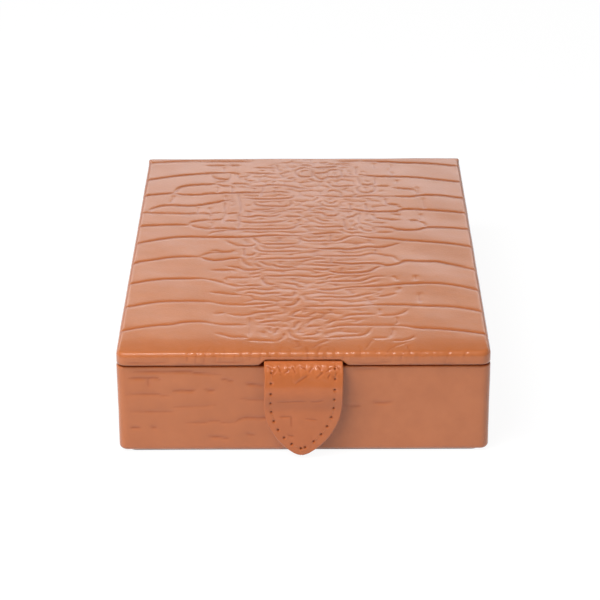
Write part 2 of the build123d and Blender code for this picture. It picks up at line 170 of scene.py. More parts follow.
# Small scales of the middle, middle third
MIDDLE = drawn(F,
    (-412, 530, -414, 570, -414, 600), (-369, 540, -364, 600), (-364, 610, -360, 668), (-360, 680,
    -354, 720, -360, 756), (-19, 842, -15, 882, -23, 912), (-202, 568, -149, 566, -113, 548), (-67,
    564, 0, 565), (-167, 587, -113, 582), (-23, 663, -19, 692, -37, 722), (182, 501, 183, 560),
    (322, 451, 323, 504), (471, 447, 472, 565), (456, 611, 454, 646, 446, 686), (266, 748, 270,
    790), (104, 813, 100, 863, 106, 883), (214, 581, 218, 620, 212, 664, 218, 706, 244, 724, 266,
    746), (155, 664, 157, 714, 165, 768), (216, 704, 195, 738, 207, 770), (46, 643, 68, 679, 107,
    689), (46, 559, 85, 568, 121, 584), (264, 613, 276, 649), (345, 615, 376, 628), (260, 700, 317,
    711), (274, 800, 344, 799)
) + drawn(M,
    (-310, 471, -310, 541, -306, 601, -310, 651, -311, 695), (-301, 605, -253, 599), (-311, 676,
    -251, 680), (-251, 601, -254, 641, -249, 701, -254, 755), (-247, 635, -202, 641, -182, 627,
    -142, 636, -107, 628, -93, 608), (-77, 636, -10, 638), (-247, 661, -241, 689, -192, 698, -132,
    698, -83, 684, -65, 670), (-254, 757, -182, 765, -103, 764, -49, 754), (-194, 845, -178, 881,
    -164, 907), (-164, 908, -102, 912, -23, 910), (-296, 875, -276, 900, -251, 922, -206, 931,
    -186, 917, -182, 901), (-196, 482, -186, 516, -143, 529, -67, 530, -50, 503, -54, 469), (243,
    501, 245, 571), (322, 506, 372, 518), (408, 680, 442, 680), (270, 651, 331, 671, 375, 677),
    (21, 812, 56, 811, 106, 804, 151, 807), (165, 770, 207, 772), (215, 744, 231, 782, 266, 788),
    (38, 737, 76, 747, 151, 745, 161, 769), (159, 652, 194, 638, 210, 608), (26, 601, 67, 603, 85,
    629, 125, 630, 137, 602)
)

# Small scales of the middle, front third
MIDDLE_FRONT = drawn(M,
    (-181, 915, -178, 961, -152, 983, -82, 984, -11, 982), (-227, 936, -223, 981, -221, 1015, -191,
    1015, -181, 991), (-346, 972, -314, 974), (-285, 1116, -261, 1126, -235, 1137, -215, 1155,
    -177, 1154, -147, 1141), (-340, 1155, -290, 1156, -265, 1152, -251, 1171), (-181, 1079, -173,
    1057, -142, 1057, -102, 1051, -52, 1051, -3, 1046, 33, 1040), (-114, 1105, -92, 1128, -28,
    1133), (-145, 1212, -92, 1212, -52, 1208, -2, 1212, 57, 1217, 87, 1203, 117, 1197), (-280,
    1222, -241, 1227, -199, 1225), (-151, 1221, -145, 1261, -131, 1283, -99, 1289), (-82, 1270,
    -58, 1280, -32, 1288, -18, 1308, 8, 1313), (-211, 1298, -157, 1297), (37, 1018, 97, 1029, 176,
    1029, 216, 1024, 245, 1008, 267, 1004, 295, 1020, 329, 1032, 345, 1058, 365, 1091), (37, 1146,
    77, 1157, 93, 1143), (77, 1259, 137, 1261, 207, 1258, 230, 1244, 256, 1222, 296, 1216), (-334,
    1353, -300, 1361, -270, 1371, -226, 1380), (-145, 1368, -81, 1366), (-87, 1388, -39, 1386, -32,
    1352), (38, 1403, 78, 1399, 128, 1403, 177, 1398, 217, 1380, 261, 1362), (267, 1396, 297, 1389,
    332, 1369), (-264, 1539, -230, 1551, -190, 1548, -170, 1533, -141, 1527, -87, 1523), (-302,
    1701, -270, 1719, -250, 1732, -220, 1733, -194, 1740), (-192, 1758, -130, 1763, -94, 1768),
    (-154, 1619, -121, 1606, -81, 1601), (-69, 1475, -35, 1465, -21, 1433, -16, 1409), (-43, 1555,
    -25, 1523, -9, 1509), (-51, 1555, -1, 1566, 33, 1564), (-15, 1602, -35, 1666), (138, 1581, 158,
    1559, 198, 1551, 253, 1548), (267, 1559, 317, 1556, 349, 1540, 369, 1508), (9, 1656, 29, 1645,
    59, 1645), (79, 1741, 119, 1734, 149, 1729, 198, 1722, 220, 1706, 230, 1682, 240, 1656), (238,
    1742, 290, 1742), (308, 1765, 348, 1761, 374, 1743, 383, 1721)
) + drawn(F,
    (-273, 973, -257, 976), (-231, 1045, -223, 1079, -207, 1107, -187, 1125), (-165, 1071, -145,
    1101, -122, 1121), (-201, 1197, -161, 1183), (-284, 1226, -278, 1275), (267, 1002, 271, 964),
    (141, 1137, 138, 1183), (103, 1037, 101, 1091), (42, 1279, 81, 1271), (326, 1214, 344, 1253),
    (411, 1209, 408, 1255), (348, 1313, 340, 1349), (97, 1218, 83, 1247), (-211, 1370, -191, 1359,
    -161, 1372, -131, 1383), (420, 1359, 414, 1405, 417, 1446), (-314, 1538, -280, 1529), (-191,
    1562, -186, 1653, -188, 1723), (-122, 1655, -114, 1692), (-89, 1660, -100, 1708), (271, 1501,
    267, 1547), (15, 1560, 44, 1528), (79, 1630, 98, 1610, 114, 1592), (317, 1636, 329, 1612, 329,
    1566), (298, 1740, 308, 1696, 314, 1660), (-1, 1721, 29, 1716, 51, 1701, 45, 1681), (33, 1815,
    55, 1785, 89, 1759), (211, 1827, 228, 1780, 242, 1750), (281, 1857, 298, 1819, 338, 1787, 368,
    1767), (352, 1787, 368, 1858), (-90, 1768, -70, 1734, -67, 1704), (-51, 1674, -41, 1724, -11,
    1755)
) + drawn(D,
    (33, 954, 77, 959, 126, 957, 166, 965, 205, 953, 245, 942, 285, 945, 324, 930, 358, 909), (87,
    1161, 117, 1179, 157, 1187, 206, 1183, 246, 1168, 268, 1140, 289, 1122)
)

LID_STROKES = LEFT_FLANK + RIGHT_FLANK + MIDDLE_BACK + MIDDLE + MIDDLE_FRONT

# Faint cell lines of the case's front, as pairs of x and z.
FRONT_STROKES = drawn(L,
    (-599, 289, -539, 288, -509, 291, -490, 280), (-532, 287, -531, 256), (-450, 241, -410, 242,
    -390, 239, -370, 243), (-340, 245, -320, 241, -305, 243), (-600, 100, -565, 95), (-530, 102,
    -510, 95), (-241, 116, -221, 129, -191, 137, -161, 133, -131, 135, -101, 139), (-280, 285,
    -240, 275), (-200, 268, -170, 263, -136, 259), (-579, 315, -469, 312, -400, 315, -360, 307,
    -280, 303), (-331, 64, -281, 58, -261, 54), (-201, 71, -171, 68), (158, 181, 198, 180), (238,
    194, 268, 192, 308, 194)
) + drawn(F,
    (-619, 224, -569, 226, -549, 228, -510, 228, -480, 222, -460, 224), (-599, 162, -560, 162,
    -500, 158, -450, 159), (-450, 179, -380, 181, -340, 181, -300, 183), (-410, 116, -350, 116,
    -310, 124, -271, 115, -241, 116), (-220, 208, -181, 205, -101, 205), (118, 182, 158, 181)
) + drawn(Groove.FOLD,
    (179, 319, 260, 318)
)

# Creases of the tab's bend and faint cell lines of its face, as pairs of x and s.
TAB_STROKES = drawn(C,
    (-124, 130, -106, 148), (-109, 164, -96, 146), (-88, 130, -79, 152), (-66, 156, -47, 142),
    (-38, 134, -30, 156), (-28, 193, -6, 177, 14, 163), (-12, 132, 9, 144), (16, 154, 31, 136),
    (42, 174, 66, 154), (49, 132, 59, 146), (72, 154, 94, 140), (81, 174, 90, 159), (100, 172, 114,
    154), (106, 130, 124, 143)
) + drawn(L,
    (-90, 262, -40, 260, 10, 259), (25, 259, 50, 260, 70, 254), (-80, 323, -40, 321), (-40, 321,
    -38, 360), (-50, 393, -30, 397), (10, 330, 50, 334)
)

# Fine creases across the lid's front edge, by x, and lines along it, as first x, last x and v.
EDGE_CREASES = (-39.5, -36.5, -33.6, -30, -27, -23.6, -20.8, -18, -14.6, -11.4, -7.8, -4, 1.5, 5,
                8, 11, 14, 19.5, 25, 30.5, 33.5, 40, 49, 55)
EDGE_LINES = ((-60, -46, 188.2), (-44, -33, 189), (-31, -20, 188), (17, 30, 188.4), (36, 52, 189.2))


@dataclass(frozen=True)
class SmallScales:
    """Field of small scales that fills the middle of the hide between the drawn grooves."""

    pitch_x: float = 6.0
    pitch_v: float = 5.3
    jitter: float = 0.22
    edge: float = 0.10
    centre: float = 2.0
    fade: float = 5.0
    seed: int = 12
    moves: int = 64
    gap_reach: float = 2.5
    flank_reach: float = 6.0
    stations: tuple[float, ...] = (0, 10, 25, 45, 62, 80, 110, 135, 155, 172, 184)
    half_widths: tuple[float, ...] = (4, 24, 30, 36, 34, 29, 28, 30, 24, 20, 6)
    squeeze: tuple[float, ...] = (1, 0.95, 0.85, 0.8, 0.62, 0.5, 0.5, 0.6, 0.7, 0.8, 0.8)

    def inside(self, x: Array, v: Array) -> Array:
        """Share of the field at points of the hide: 1 in the middle, 0 on the flanks."""
        wide = np.interp(v, self.stations, self.half_widths)
        return smooth_step((wide - np.abs(x - self.centre)) / self.fade)

    def edges(self, x: Array, v: Array) -> tuple[Array, Array]:
        """How near points lie to the edges between small scales.

        Seeds stand in staggered rows, each moved a little at random. An edge lies where the two
        nearest seeds are equally far, so its measure is the difference of the two distances.

        Args:
            x: across the hide.
            v: along the hide.

        Returns:
            Edge strength from 0 to 1, and about the distance to the nearest edge.
        """
        rng = np.random.default_rng(self.seed)
        moves = rng.uniform(-self.jitter, self.jitter, (self.moves, self.moves, 2))
        across = (x - self.centre) * np.interp(v, self.stations, self.squeeze)
        u = (across + 0.5 * waves(x, v, 15, 20)) / self.pitch_x + 32
        w = (v + 0.6 * waves(x, v, 16, 30)) / self.pitch_v + 2
        row, nearest = np.floor(w).astype(int), np.full((2,) + x.shape, 9.0)
        for dj in (-1, 0, 1):
            j = row + dj
            stagger = 0.5 * (j % 2)
            column = np.floor(u - stagger).astype(int)
            for di in (-1, 0, 1):
                i = column + di
                move = moves[i % self.moves, j % self.moves]
                away = np.hypot(u - i - 0.5 - stagger - move[..., 0], w - j - 0.5 - move[..., 1])
                nearest = np.sort(np.concatenate([nearest, away[None]]), axis=0)[:2]
        gap = nearest[1] - nearest[0]
        inside = self.inside(x, v)
        share = inside * (0.75 + 0.25 * waves(x, v, 17, 18))
        apart = self.gap_reach * gap + self.flank_reach * (1 - inside)
        return share * np.exp(-((gap / self.edge) ** 2)), apart


@dataclass
class GrooveMap:
    """Turns strokes on an unrolled surface into a height and a groove strength, which paints shade
    into the grooves.

    Small scales calm the drawn grooves among them to a share of their depth, but keep most of their
    painted shade.
    """

    strokes: Sequence[Stroke]
    pillow_height: float = 0.075
    pillow_radius: float = 2.4
    end_share: float = 0.45
    end_slope: float = 6.0
    reach: float = 6.0
    spacing: float = 0.7
    scales: SmallScales | None = None
    scale_depth: float = 0.04
    scale_calm: float = 0.35
    scale_groove_shade: float = 0.6
    clear_from: float = 1.8
    clear_over: float = 0.8

    def curve(self, stroke: Stroke) -> Array:
        """Resample a stroke as a smooth curve.

        The points are joined by Catmull-Rom pieces: each piece is the cubic that leaves its first
        point and reaches its last one along the chords of the neighbouring points.

        Args:
            stroke: the groove's kind and its points.

        Returns:
            Points about `spacing` apart, one row each.
        """
        points = np.array(stroke[1], float).reshape(-1, 2)
        padded = np.vstack([2 * points[0] - points[1], points, 2 * points[-1] - points[-2]])
        pieces = []
        for a, b, c, d in zip(padded, padded[1:], padded[2:], padded[3:]):
            steps = max(2, int(np.linalg.norm(c - b) / self.spacing) + 1)
            t = np.linspace(0, 1, steps, endpoint=False)[:, None]
            square, cube = 2 * a - 5 * b + 4 * c - d, 3 * b - a - 3 * c + d
            pieces.append(0.5 * (2 * b + (c - a) * t + square * t**2 + cube * t**3))
        return np.vstack(pieces + [points[-1:]])

    def sample(self, x: Array, v: Array) -> tuple[Array, Array]:
        """Height and groove strength at points of the unrolled surface.

        A groove is a Gaussian trough along its curve that grows shallow at its two ends. Away from
        grooves the leather rises like a pillow, along a parabola that is level at the pillow's
        radius. The field of small scales adds its edges where no drawn groove is near.

        Args:
            x: first coordinates.
            v: second coordinates.

        Returns:
            Height (negative in grooves) and strength of the painted groove shade from 0 to 1.
        """
        shape, x, v = x.shape, x.ravel(), v.ravel()
        trough, nearest = np.zeros(x.shape), np.full(x.shape, self.reach)
        for stroke in self.strokes:
            depth, width = stroke[0].value
            line = self.curve(stroke)
            low, high = line.min(0) - self.reach, line.max(0) + self.reach
            near = np.nonzero((x > low[0]) & (x < high[0]) & (v > low[1]) & (v < high[1]))[0]
            if not near.size:
                continue
            p = np.stack([x[near], v[near]], 1)[:, None, :]
            a, b = line[None, :-1], line[None, 1:]
            run = b - a
            t = np.clip(((p - a) * run).sum(2) / (run**2).sum(2), 0, 1)
            gap = np.linalg.norm(p - a - t[..., None] * run, axis=2)
            best = gap.argmin(1)
            rows = np.arange(near.size)
            distance = gap[rows, best]
            along = (best + t[rows, best]) / run.shape[1]
            inner = np.clip(np.minimum(along, 1 - along) * self.end_slope, 0, 1)
            fade = self.end_share + (1 - self.end_share) * inner
            value = depth * fade * np.exp(-((distance / width) ** 2))
            trough[near] = np.maximum(trough[near], value)
            nearest[near] = np.minimum(nearest[near], distance + (1 - fade) * 2)
        darken = 1.0
        if self.scales is not None:
            edge, apart = self.scales.edges(x, v)
            inside = self.scales.inside(x, v)
            trough *= 1 - self.scale_calm * inside
            # Painted shade: among small scales the strength is raised to a lower power, so calmed
            # grooves stay dark.
            darken = 1 - self.scale_groove_shade * inside
            clear = smooth_step((nearest - self.clear_from) / self.clear_over)
            trough = np.maximum(trough, self.scale_depth * edge * clear)
            nearest = np.minimum(nearest, apart + 2 * (1 - clear))
        pillow = self.pillow_height * (1 - np.clip(1 - nearest / self.pillow_radius, 0, 1) ** 2)
        strength = np.clip(trough / Groove.DEEP.value[0], 0, 1) ** darken
        return (pillow - self.pillow_height - trough).reshape(shape), strength.reshape(shape)


def wall_strokes(first: float, last: float, seed: int, floor: float, top: float) -> list[Stroke]:
    """Draw faint rows of broad cells for a wall that the photograph doesn't show.

    Args:
        first: where the wall starts along the unrolled perimeter.
        last: where it ends.
        seed: the draw's seed.
        floor: the wall's lower edge.
        top: the wall's upper edge.

    Returns:
        Horizontal strokes in rows, with a few short upright ones between them.
    """
    rng = np.random.default_rng(seed)
    strokes: list[Stroke] = []
    for level in np.arange(floor + 6.5, top - 2, 6.6):
        at = first + rng.uniform(1, 8)
        while at < last - 8:
            end = min(at + rng.uniform(11, 20), last - 1)
            bow = rng.uniform(-0.5, 0.5)
            z = level + rng.uniform(-0.8, 0.8)
            kind = F if rng.random() < 0.45 else L
            row = (at, z, (at + end) / 2, z + bow, end, z + rng.uniform(-0.4, 0.4))
            strokes.append((kind, row))
            if rng.random() < 0.25:
                up = rng.uniform(2, 4)
                strokes.append((L, (end, z, end + rng.uniform(-0.5, 0.5), z + up)))
            at = end + rng.uniform(0.4, 5)
    return strokes


# Meshes


def grid_faces(
    rows: int, columns: int, start: int = 0, closed: bool = False, ring: bool = False
) -> Array:
    """Quads of a rows by columns grid of vertices.

    Args:
        rows: vertex rows.
        columns: vertex columns.
        start: index of the first vertex.
        closed: whether the last column joins the first.
        ring: whether the last row joins the first.

    Returns:
        One row of four vertex indices for each quad.
    """
    i, j = np.indices((rows if ring else rows - 1, columns if closed else columns - 1))
    k, m = (i + 1) % rows, (j + 1) % columns
    quads = np.stack([i * columns + j, i * columns + m, k * columns + m, k * columns + j], -1)
    return quads.reshape(-1, 4) + start


def make_mesh(
    name: str,
    points_mm: Array,
    faces: Array,
    material: Material,
    attributes: dict[str, Array] | None = None,
    weld: bool = True,
    caps: Sequence[Sequence[int]] = (),
) -> Piece:
    """Make a smooth-shaded object from arrays.

    Args:
        name: the piece's name.
        points_mm: vertices.
        faces: quads.
        material: the finish.
        attributes: named values, one for each vertex.
        weld: whether doubled vertices are merged, which also removes empty faces.
        caps: faces with more than four corners.

    Returns:
        The object, at the origin.
    """
    mesh = bpy.data.meshes.new(name)
    if len(caps):
        mesh.from_pydata((points_mm * MM).tolist(), [], faces.tolist() + [list(c) for c in caps])
    else:
        mesh.vertices.add(len(points_mm))
        mesh.vertices.foreach_set("co", (points_mm * MM).astype(np.float32).ravel())
        mesh.loops.add(faces.size)
        mesh.loops.foreach_set("vertex_index", faces.astype(np.int32).ravel())
        mesh.polygons.add(len(faces))
        mesh.polygons.foreach_set("loop_start", np.arange(len(faces), dtype=np.int32) * 4)
        mesh.update(calc_edges=True)
    for key, values in (attributes or {}).items():
        layer = mesh.attributes.new(key, "FLOAT", "POINT")
        layer.data.foreach_set("value", values.astype(np.float32).ravel())
    if weld:
        work = bmesh.new()
        work.from_mesh(mesh)
        bmesh.ops.remove_doubles(work, verts=work.verts, dist=2e-6)
        bmesh.ops.recalc_face_normals(work, faces=work.faces)
        work.to_mesh(mesh)
        work.free()
    mesh.polygons.foreach_set("use_smooth", np.ones(len(mesh.polygons), dtype=bool))
    mesh.materials.append(material)
    mesh.validate()
    piece = bpy.data.objects.new(name, mesh)
    bpy.context.scene.collection.objects.link(piece)
    return piece


def squared(points: Array, power: float) -> Array:
    """Move points of a unit circle out to where the powers of their coordinates sum to 1."""
    return points / (np.abs(points) ** power).sum(-1, keepdims=True) ** (1 / power)


@dataclass
class RimLoop:
    """Columns round a rounded rectangle, each a base point and an outward direction.

    The base points lie on the sharp rectangle that is `corner_r` inside the outline. At a corner
    the columns share one base point and their directions fan out.
    """

    half_x: float
    y0: float
    y1: float
    corner_r: float
    step: float
    fan: int = 7
    back_power: float = 2.0

    def __post_init__(self) -> None:
        """Lay out the columns at about the wanted spacing."""
        wide, deep = 2 * (self.half_x - self.corner_r), self.y1 - self.y0 - 2 * self.corner_r
        self.resample(int(round(wide / self.step)) + 1, int(round(deep / self.step)) + 1)

    def resample(self, count_x: int, count_y: int) -> None:
        """Lay out the columns, anticlockwise from the front left corner.

        Args:
            count_x: columns of the front and of the back.
            count_y: columns of each side.
        """
        right = self.half_x - self.corner_r
        front, back = self.y0 + self.corner_r, self.y1 - self.corner_r
        self.count_x, self.count_y = count_x, count_y
        xs, ys = np.linspace(-right, right, count_x), np.linspace(front, back, count_y)
        sides = [
            (xs, np.full_like(xs, front), -90.0),
            (np.full_like(ys, right), ys, 0.0),
            (xs[::-1], np.full_like(xs, back), 90.0),
            (np.full_like(ys, -right), ys[::-1], 180.0),
        ]
        base, out = [], []
        for px, py, angle in sides:
            turn = math.radians(angle)
            fan = np.radians(angle + 90.0 * np.arange(1, self.fan + 1) / (self.fan + 1))
            reach = np.stack([np.cos(fan), np.sin(fan)], 1)
            if angle in (0.0, 90.0):
                reach = squared(reach, self.back_power)
            base += [np.stack([px, py], 1), np.tile([px[-1], py[-1]], (self.fan, 1))]
            out += [np.tile([math.cos(turn), math.sin(turn)], (len(px), 1)), reach]
        self.base, self.out = np.vstack(base), np.vstack(out)

    def at(self, inset: Array) -> Array:
        """Plan points of every column at insets from the outline.

        A column runs out from its base point by the corner radius less the inset. Further in than
        the base it is held inside the smaller rectangle, so that the corners stay square.

        Args:
            inset: distances inwards from the outline, one for each row or one for each point.

        Returns:
            An array of rows by columns by two.
        """
        inset = inset[:, None] if inset.ndim == 1 else inset
        plan = self.base[None] + self.out[None] * (self.corner_r - inset)[..., None]
        limit_x = np.broadcast_to(self.half_x - inset, plan.shape[:2])
        plan[..., 0] = np.clip(plan[..., 0], -limit_x, limit_x)
        plan[..., 1] = np.clip(plan[..., 1], self.y0 + inset, self.y1 - inset)
        return plan


def arc(
    centre_d: float, centre_z: float, radius: float, start: float, end: float, steps: int
) -> list[Pair]:
    """Insets and heights of an arc, by degrees from the outward direction towards up."""
    angles = np.radians(np.linspace(start, end, steps))
    return [(centre_d - radius * math.cos(a), centre_z + radius * math.sin(a)) for a in angles]


def run(start: Pair, end: Pair, step: float) -> list[Pair]:
    """Points along a straight run, without its last point.

    Args:
        start: first inset and height.
        end: last inset and height.
        step: about how far apart the points lie.

    Returns:
        Pairs of inset and height.
    """
    count = max(1, int(round(math.dist(start, end) / step)))
    t = np.arange(count) / count
    return [(start[0] + (end[0] - start[0]) * k, start[1] + (end[1] - start[1]) * k) for k in t]


def smooth_step(value: Array) -> Array:
    """Rise from 0 to 1 with level ends: three times the square less twice the cube."""
    t = np.clip(value, 0, 1)
    return t * t * (3 - 2 * t)


def waves(x: Array, y: Array, seed: int, length: float, count: int = 6) -> Array:
    """Gentle unevenness: a sum of seeded sine waves in random directions.

    Args:
        x: first coordinates.
        y: second coordinates.
        seed: the draw's seed.
        length: typical wavelength.
        count: how many waves.

    Returns:
        Values mostly between -1 and 1.
    """
    rng = np.random.default_rng(seed)
    total = np.zeros(np.broadcast(x, y).shape)
    for _ in range(count):
        angle, phase = rng.uniform(0, math.tau, 2)
        number = math.tau / (length * rng.uniform(0.6, 1.6))
        total += np.sin(number * (x * math.cos(angle) + y * math.sin(angle)) + phase)
    return total / math.sqrt(count)


def uneven(x: Array, y: Array, swells: Sequence[Swell]) -> Array:
    """Waves of several heights, seeds and lengths."""
    return sum(height * waves(x, y, seed, length) for height, seed, length in swells)


def node_box(node: str) -> tuple[Array, Array]:
    """Lowest and highest corner of a CAD node at rest, in millimetres."""
    low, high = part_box(node)
    return np.array(low) / MM, np.array(high) / MM


def settle(piece: Piece, slot: str, *nodes: str, body: str | None = None) -> None:
    """Say what a piece rides on, hide the CAD nodes that it stands for, and log it.

    Args:
        piece: the piece.
        slot: not used.
        nodes: the CAD nodes that it replaces.
        body: the body that carries it, or none where it bends between two.
    """
    if body is not None:
        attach(piece, body)
    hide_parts(*nodes)
    LOG.info("%s: %d faces", piece.name, len(piece.data.polygons))


def left_normals(profile: Array) -> Array:
    """Unit normals to the left of a profile's run, in inset and height."""
    tangent = np.gradient(profile, axis=0)
    normal = np.stack([-tangent[:, 1], tangent[:, 0]], 1)
    return normal / np.linalg.norm(normal, axis=1)[:, None]


def travelled(points: Array) -> Array:
    """How far along a line of points each of them lies."""
    return np.append(0, np.cumsum(np.linalg.norm(np.diff(points, axis=0), axis=1)))


def graded(low: float, high: float, step: float, edge: float) -> Array:
    """Stations from low to high that crowd towards both ends.

    The first and last stretch, `edge` long, have the spacing of a cosine. The rest is even.

    Args:
        low: first station.
        high: last station.
        step: spacing of the even part.
        edge: length of each crowded stretch.

    Returns:
        The stations.
    """
    crowd = edge * (1 - np.cos(np.linspace(0, math.pi / 2, 5)))
    count = max(2, int(round((high - low - 2 * edge) / step)) + 1)
    middle = np.linspace(low + edge, high - edge, count)
    return np.concatenate([low + crowd[:-1], middle, (high - crowd[:-1])[::-1]])


def panel(
    low: Sequence[float], high: Sequence[float], steps: Sequence[float], edge_r: float
) -> tuple[Array, Array, Array]:
    """Grid over a rectangle, with each point's distance to the outline.

    Args:
        low: the lowest first and second coordinate.
        high: the highest.
        steps: spacing of the grid each way.
        edge_r: how far in the grid is crowded.

    Returns:
        First coordinates, second coordinates and distances.
    """
    x, s = np.meshgrid(*(graded(*span, edge_r) for span in zip(low, high, steps)))
    edge = np.minimum(np.minimum(x - low[0], high[0] - x), np.minimum(s - low[1], high[1] - s))
    return x, s, edge


def shell(
    name: str,
    x: Array,
    s: Array,
    edge: Array,
    place: Callable[[Array, Array, Array], Array],
    levels: Pair,
    edge_r: float,
    material: Material,
    relief: Array | float = 0.0,
    groove: Array | float = 0.0,
) -> Piece:
    """Make a closed sheet with rounded edges.

    Both faces are grids. Each stands off the middle level by half the thickness times the height
    of a quarter ellipse over the distance to the outline, so they meet at the outline.

    Args:
        name: the piece's name.
        x: first coordinates, as a grid.
        s: second coordinates.
        edge: distance of each grid point to the outline.
        place: turns x, s and a level into points.
        levels: the back's and the front's level.
        edge_r: how far in the edges are rounded.
        material: the finish.
        relief: added to the front's level.
        groove: strength of the painted groove shade on the front.

    Returns:
        The sheet.
    """
    half, middle = (levels[1] - levels[0]) / 2, (levels[1] + levels[0]) / 2
    near = np.clip(edge / edge_r, 0, 1)
    swell = half * np.sqrt(1 - (1 - near) ** 2)
    front = place(x, s, middle + swell + relief * near).reshape(-1, 3)
    back = place(x, s, middle - swell).reshape(-1, 3)
    faces = grid_faces(*x.shape)
    values = np.concatenate([np.broadcast_to(groove, x.shape).ravel(), np.zeros(x.size)])
    return make_mesh(
        name, np.vstack([front, back]), np.vstack([faces, faces[:, ::-1] + x.size]), material,
        {"groove": values},
    )


# Finishes


class NodeBench:
    """Adds the nodes of a material or a world and joins them up."""

    def __init__(self, owner: Material | bpy.types.World, kind: str) -> None:
        """Start an empty node tree.

        Args:
            owner: what the nodes belong to.
            kind: Material or World, which names its output.
        """
        owner.use_nodes = True
        self.tree = owner.node_tree
        self.tree.nodes.clear()
        self.surface = self.add("Output" + kind).inputs["Surface"]
        self.place = self.add("TexCoord").outputs["Object"]

    def add(
        self, kind: str, inputs: dict[str | int, object] | None = None, **settings: object
    ) -> bpy.types.Node:
        """Add a node.

        Args:
            kind: its type, without the leading ShaderNode.
            inputs: what its sockets get, by name or number.
            settings: its own properties.

        Returns:
            The node.
        """
        node = self.tree.nodes.new("ShaderNode" + kind)
        for key, value in settings.items():
            setattr(node, key, value)
        for key, value in (inputs or {}).items():
            self.feed(node.inputs[key], value)
        return node

    def feed(self, socket: Socket, value: object) -> None:
        """Give a socket another socket, a colour or a plain value."""
        if isinstance(value, Socket):
            self.tree.links.new(value, socket)
        else:
            socket.default_value = (*value, 1.0) if socket.type == "RGBA" else value

    def stretched(self, scale: Point) -> Socket:
        """Object coordinates times a scale for each axis."""
        return self.add("Mapping", {"Vector": self.place, "Scale": scale}).outputs["Vector"]

    def noise(
        self, scale: float, detail: float = 3.0, rough: float = 0.55, place: Socket | None = None
    ) -> Socket:
        """Cloudy noise about 0.5, with so many waves per metre and so many octaves."""
        inputs = {"Vector": place or self.place, "Scale": scale, "Detail": detail}
        return self.add("TexNoise", inputs | {"Roughness": rough}).outputs["Fac"]

    def cells(self, scale: float) -> Socket:
        """Distance to the nearest of scattered points, so many per metre."""
        return self.add("TexVoronoi", {"Vector": self.place, "Scale": scale}).outputs["Distance"]

    def spread(
        self, value: Socket, low: float, high: float, out_low: float = 0.0, out_high: float = 1.0
    ) -> Socket:
        """Map a range of values to another, held at its ends.

        Args:
            value: the input.
            low: input that gives out_low.
            high: input that gives out_high.
            out_low: first result.
            out_high: last result.

        Returns:
            The mapped value.
        """
        names = ("Value", "From Min", "From Max", "To Min", "To Max")
        levels = (value, low, high, out_low, out_high)
        return self.add("MapRange", dict(zip(names, levels))).outputs["Result"]

    def maths(self, operation: str, a: object, b: object) -> Socket:
        """The result of a Math node."""
        return self.add("Math", {0: a, 1: b}, operation=operation).outputs[0]

    def blend(self, factor: object, a: object, b: object) -> Socket:
        """Mix two colours: a factor of 0 gives a, and 1 gives b."""
        return self.add("Mix", {0: factor, 6: a, 7: b}, data_type="RGBA").outputs[2]

    def mix(self, factor: object, a: bpy.types.Node, b: bpy.types.Node) -> bpy.types.Node:
        """Mix two shaders: a factor of 0 gives a, and 1 gives b."""
        return self.add("MixShader", {0: factor, 1: a.outputs[0], 2: b.outputs[0]})

    def bump(
        self, height: Socket, strength: float, distance: float, normal: Socket | None = None
    ) -> Socket:
        """A normal roughened by a height.

        Args:
            height: the height value.
            strength: how much of it shows.
            distance: metres for a height of 1.
            normal: a normal to start from.

        Returns:
            The new normal.
        """
        inputs = {"Height": height, "Strength": strength, "Distance": distance}
        if normal is not None:
            inputs["Normal"] = normal
        return self.add("Bump", inputs).outputs["Normal"]


@dataclass(frozen=True)
class Finish:
    """A procedural material, painted by each kind of finish in its own way."""

    name: str

    def make(self) -> Material:
        """Build the material."""
        material = bpy.data.materials.new(self.name)
        bench = NodeBench(material, "Material")
        shader = bench.add("BsdfPrincipled", self.sockets(bench))
        bench.feed(bench.surface, shader.outputs[0])
        return material

    def sockets(self, bench: NodeBench) -> dict[str, object]:
        """What the shader's sockets get."""
        raise NotImplementedError


@dataclass(frozen=True)
class LeatherFinish(Finish):
    """Glazed tan leather: warm plates, painted shade in the grooves and stitch holes, fine grain
    and a thin coat.
    """

    plate: Colour = (0.530, 0.155, 0.048)
    pale: Colour = (0.560, 0.172, 0.058)
    # Painted shade: groove is the colour that grooves and creases are darkened towards, standing in
    # for the shade in them.
    groove: Colour = (0.400, 0.088, 0.019)
    # Painted shade: hole is the near-black standing in for the shade inside the stitch holes.
    hole: Colour = (0.090, 0.018, 0.006)
    patch_shade: float = 0.90
    patch_share: float = 0.45
    roughness: Pair = (0.32, 0.44)
    coat: float = 1.0
    coat_roughness: float = 0.19
    grain: float = 0.16

    def sockets(self, bench: NodeBench) -> dict[str, object]:
        """Clouds and patches tint the plates, painted shade darkens grooves and holes, grain and
        pores roughen them.
        """
        tone = bench.blend(bench.spread(bench.noise(26, 2), 0.38, 0.62), self.plate, self.pale)
        patches = bench.spread(bench.noise(170), 0.35, 0.68)
        deeper = tuple(self.patch_shade * c for c in self.plate)
        tone = bench.blend(bench.maths("MULTIPLY", patches, self.patch_share), tone, deeper)
        groove = bench.add("Attribute", attribute_name="groove").outputs["Fac"]
        # Painted shade: the groove attribute from 0 to 1 darkens the plates towards the groove
        # colour.
        tone = bench.blend(bench.spread(groove, 0.05, 0.95), tone, self.groove)
        # Painted shade: groove values above 1 darken stitch holes towards the hole colour.
        tone = bench.blend(bench.spread(groove, 1.05, 1.6), tone, self.hole)
        pores = bench.spread(bench.cells(1500), 0.0, 0.55)
        normal = bench.bump(bench.noise(900, 5, 0.6), self.grain, 0.00035)
        return {
            "Base Color": tone,
            "Roughness": bench.spread(bench.noise(60), 0.3, 0.7, *self.roughness),
            "Normal": bench.bump(pores, self.grain / 2, 0.00012, normal),
            "Coat Weight": self.coat,
            "Coat Roughness": self.coat_roughness,
            "Specular IOR Level": 0.2,
        }


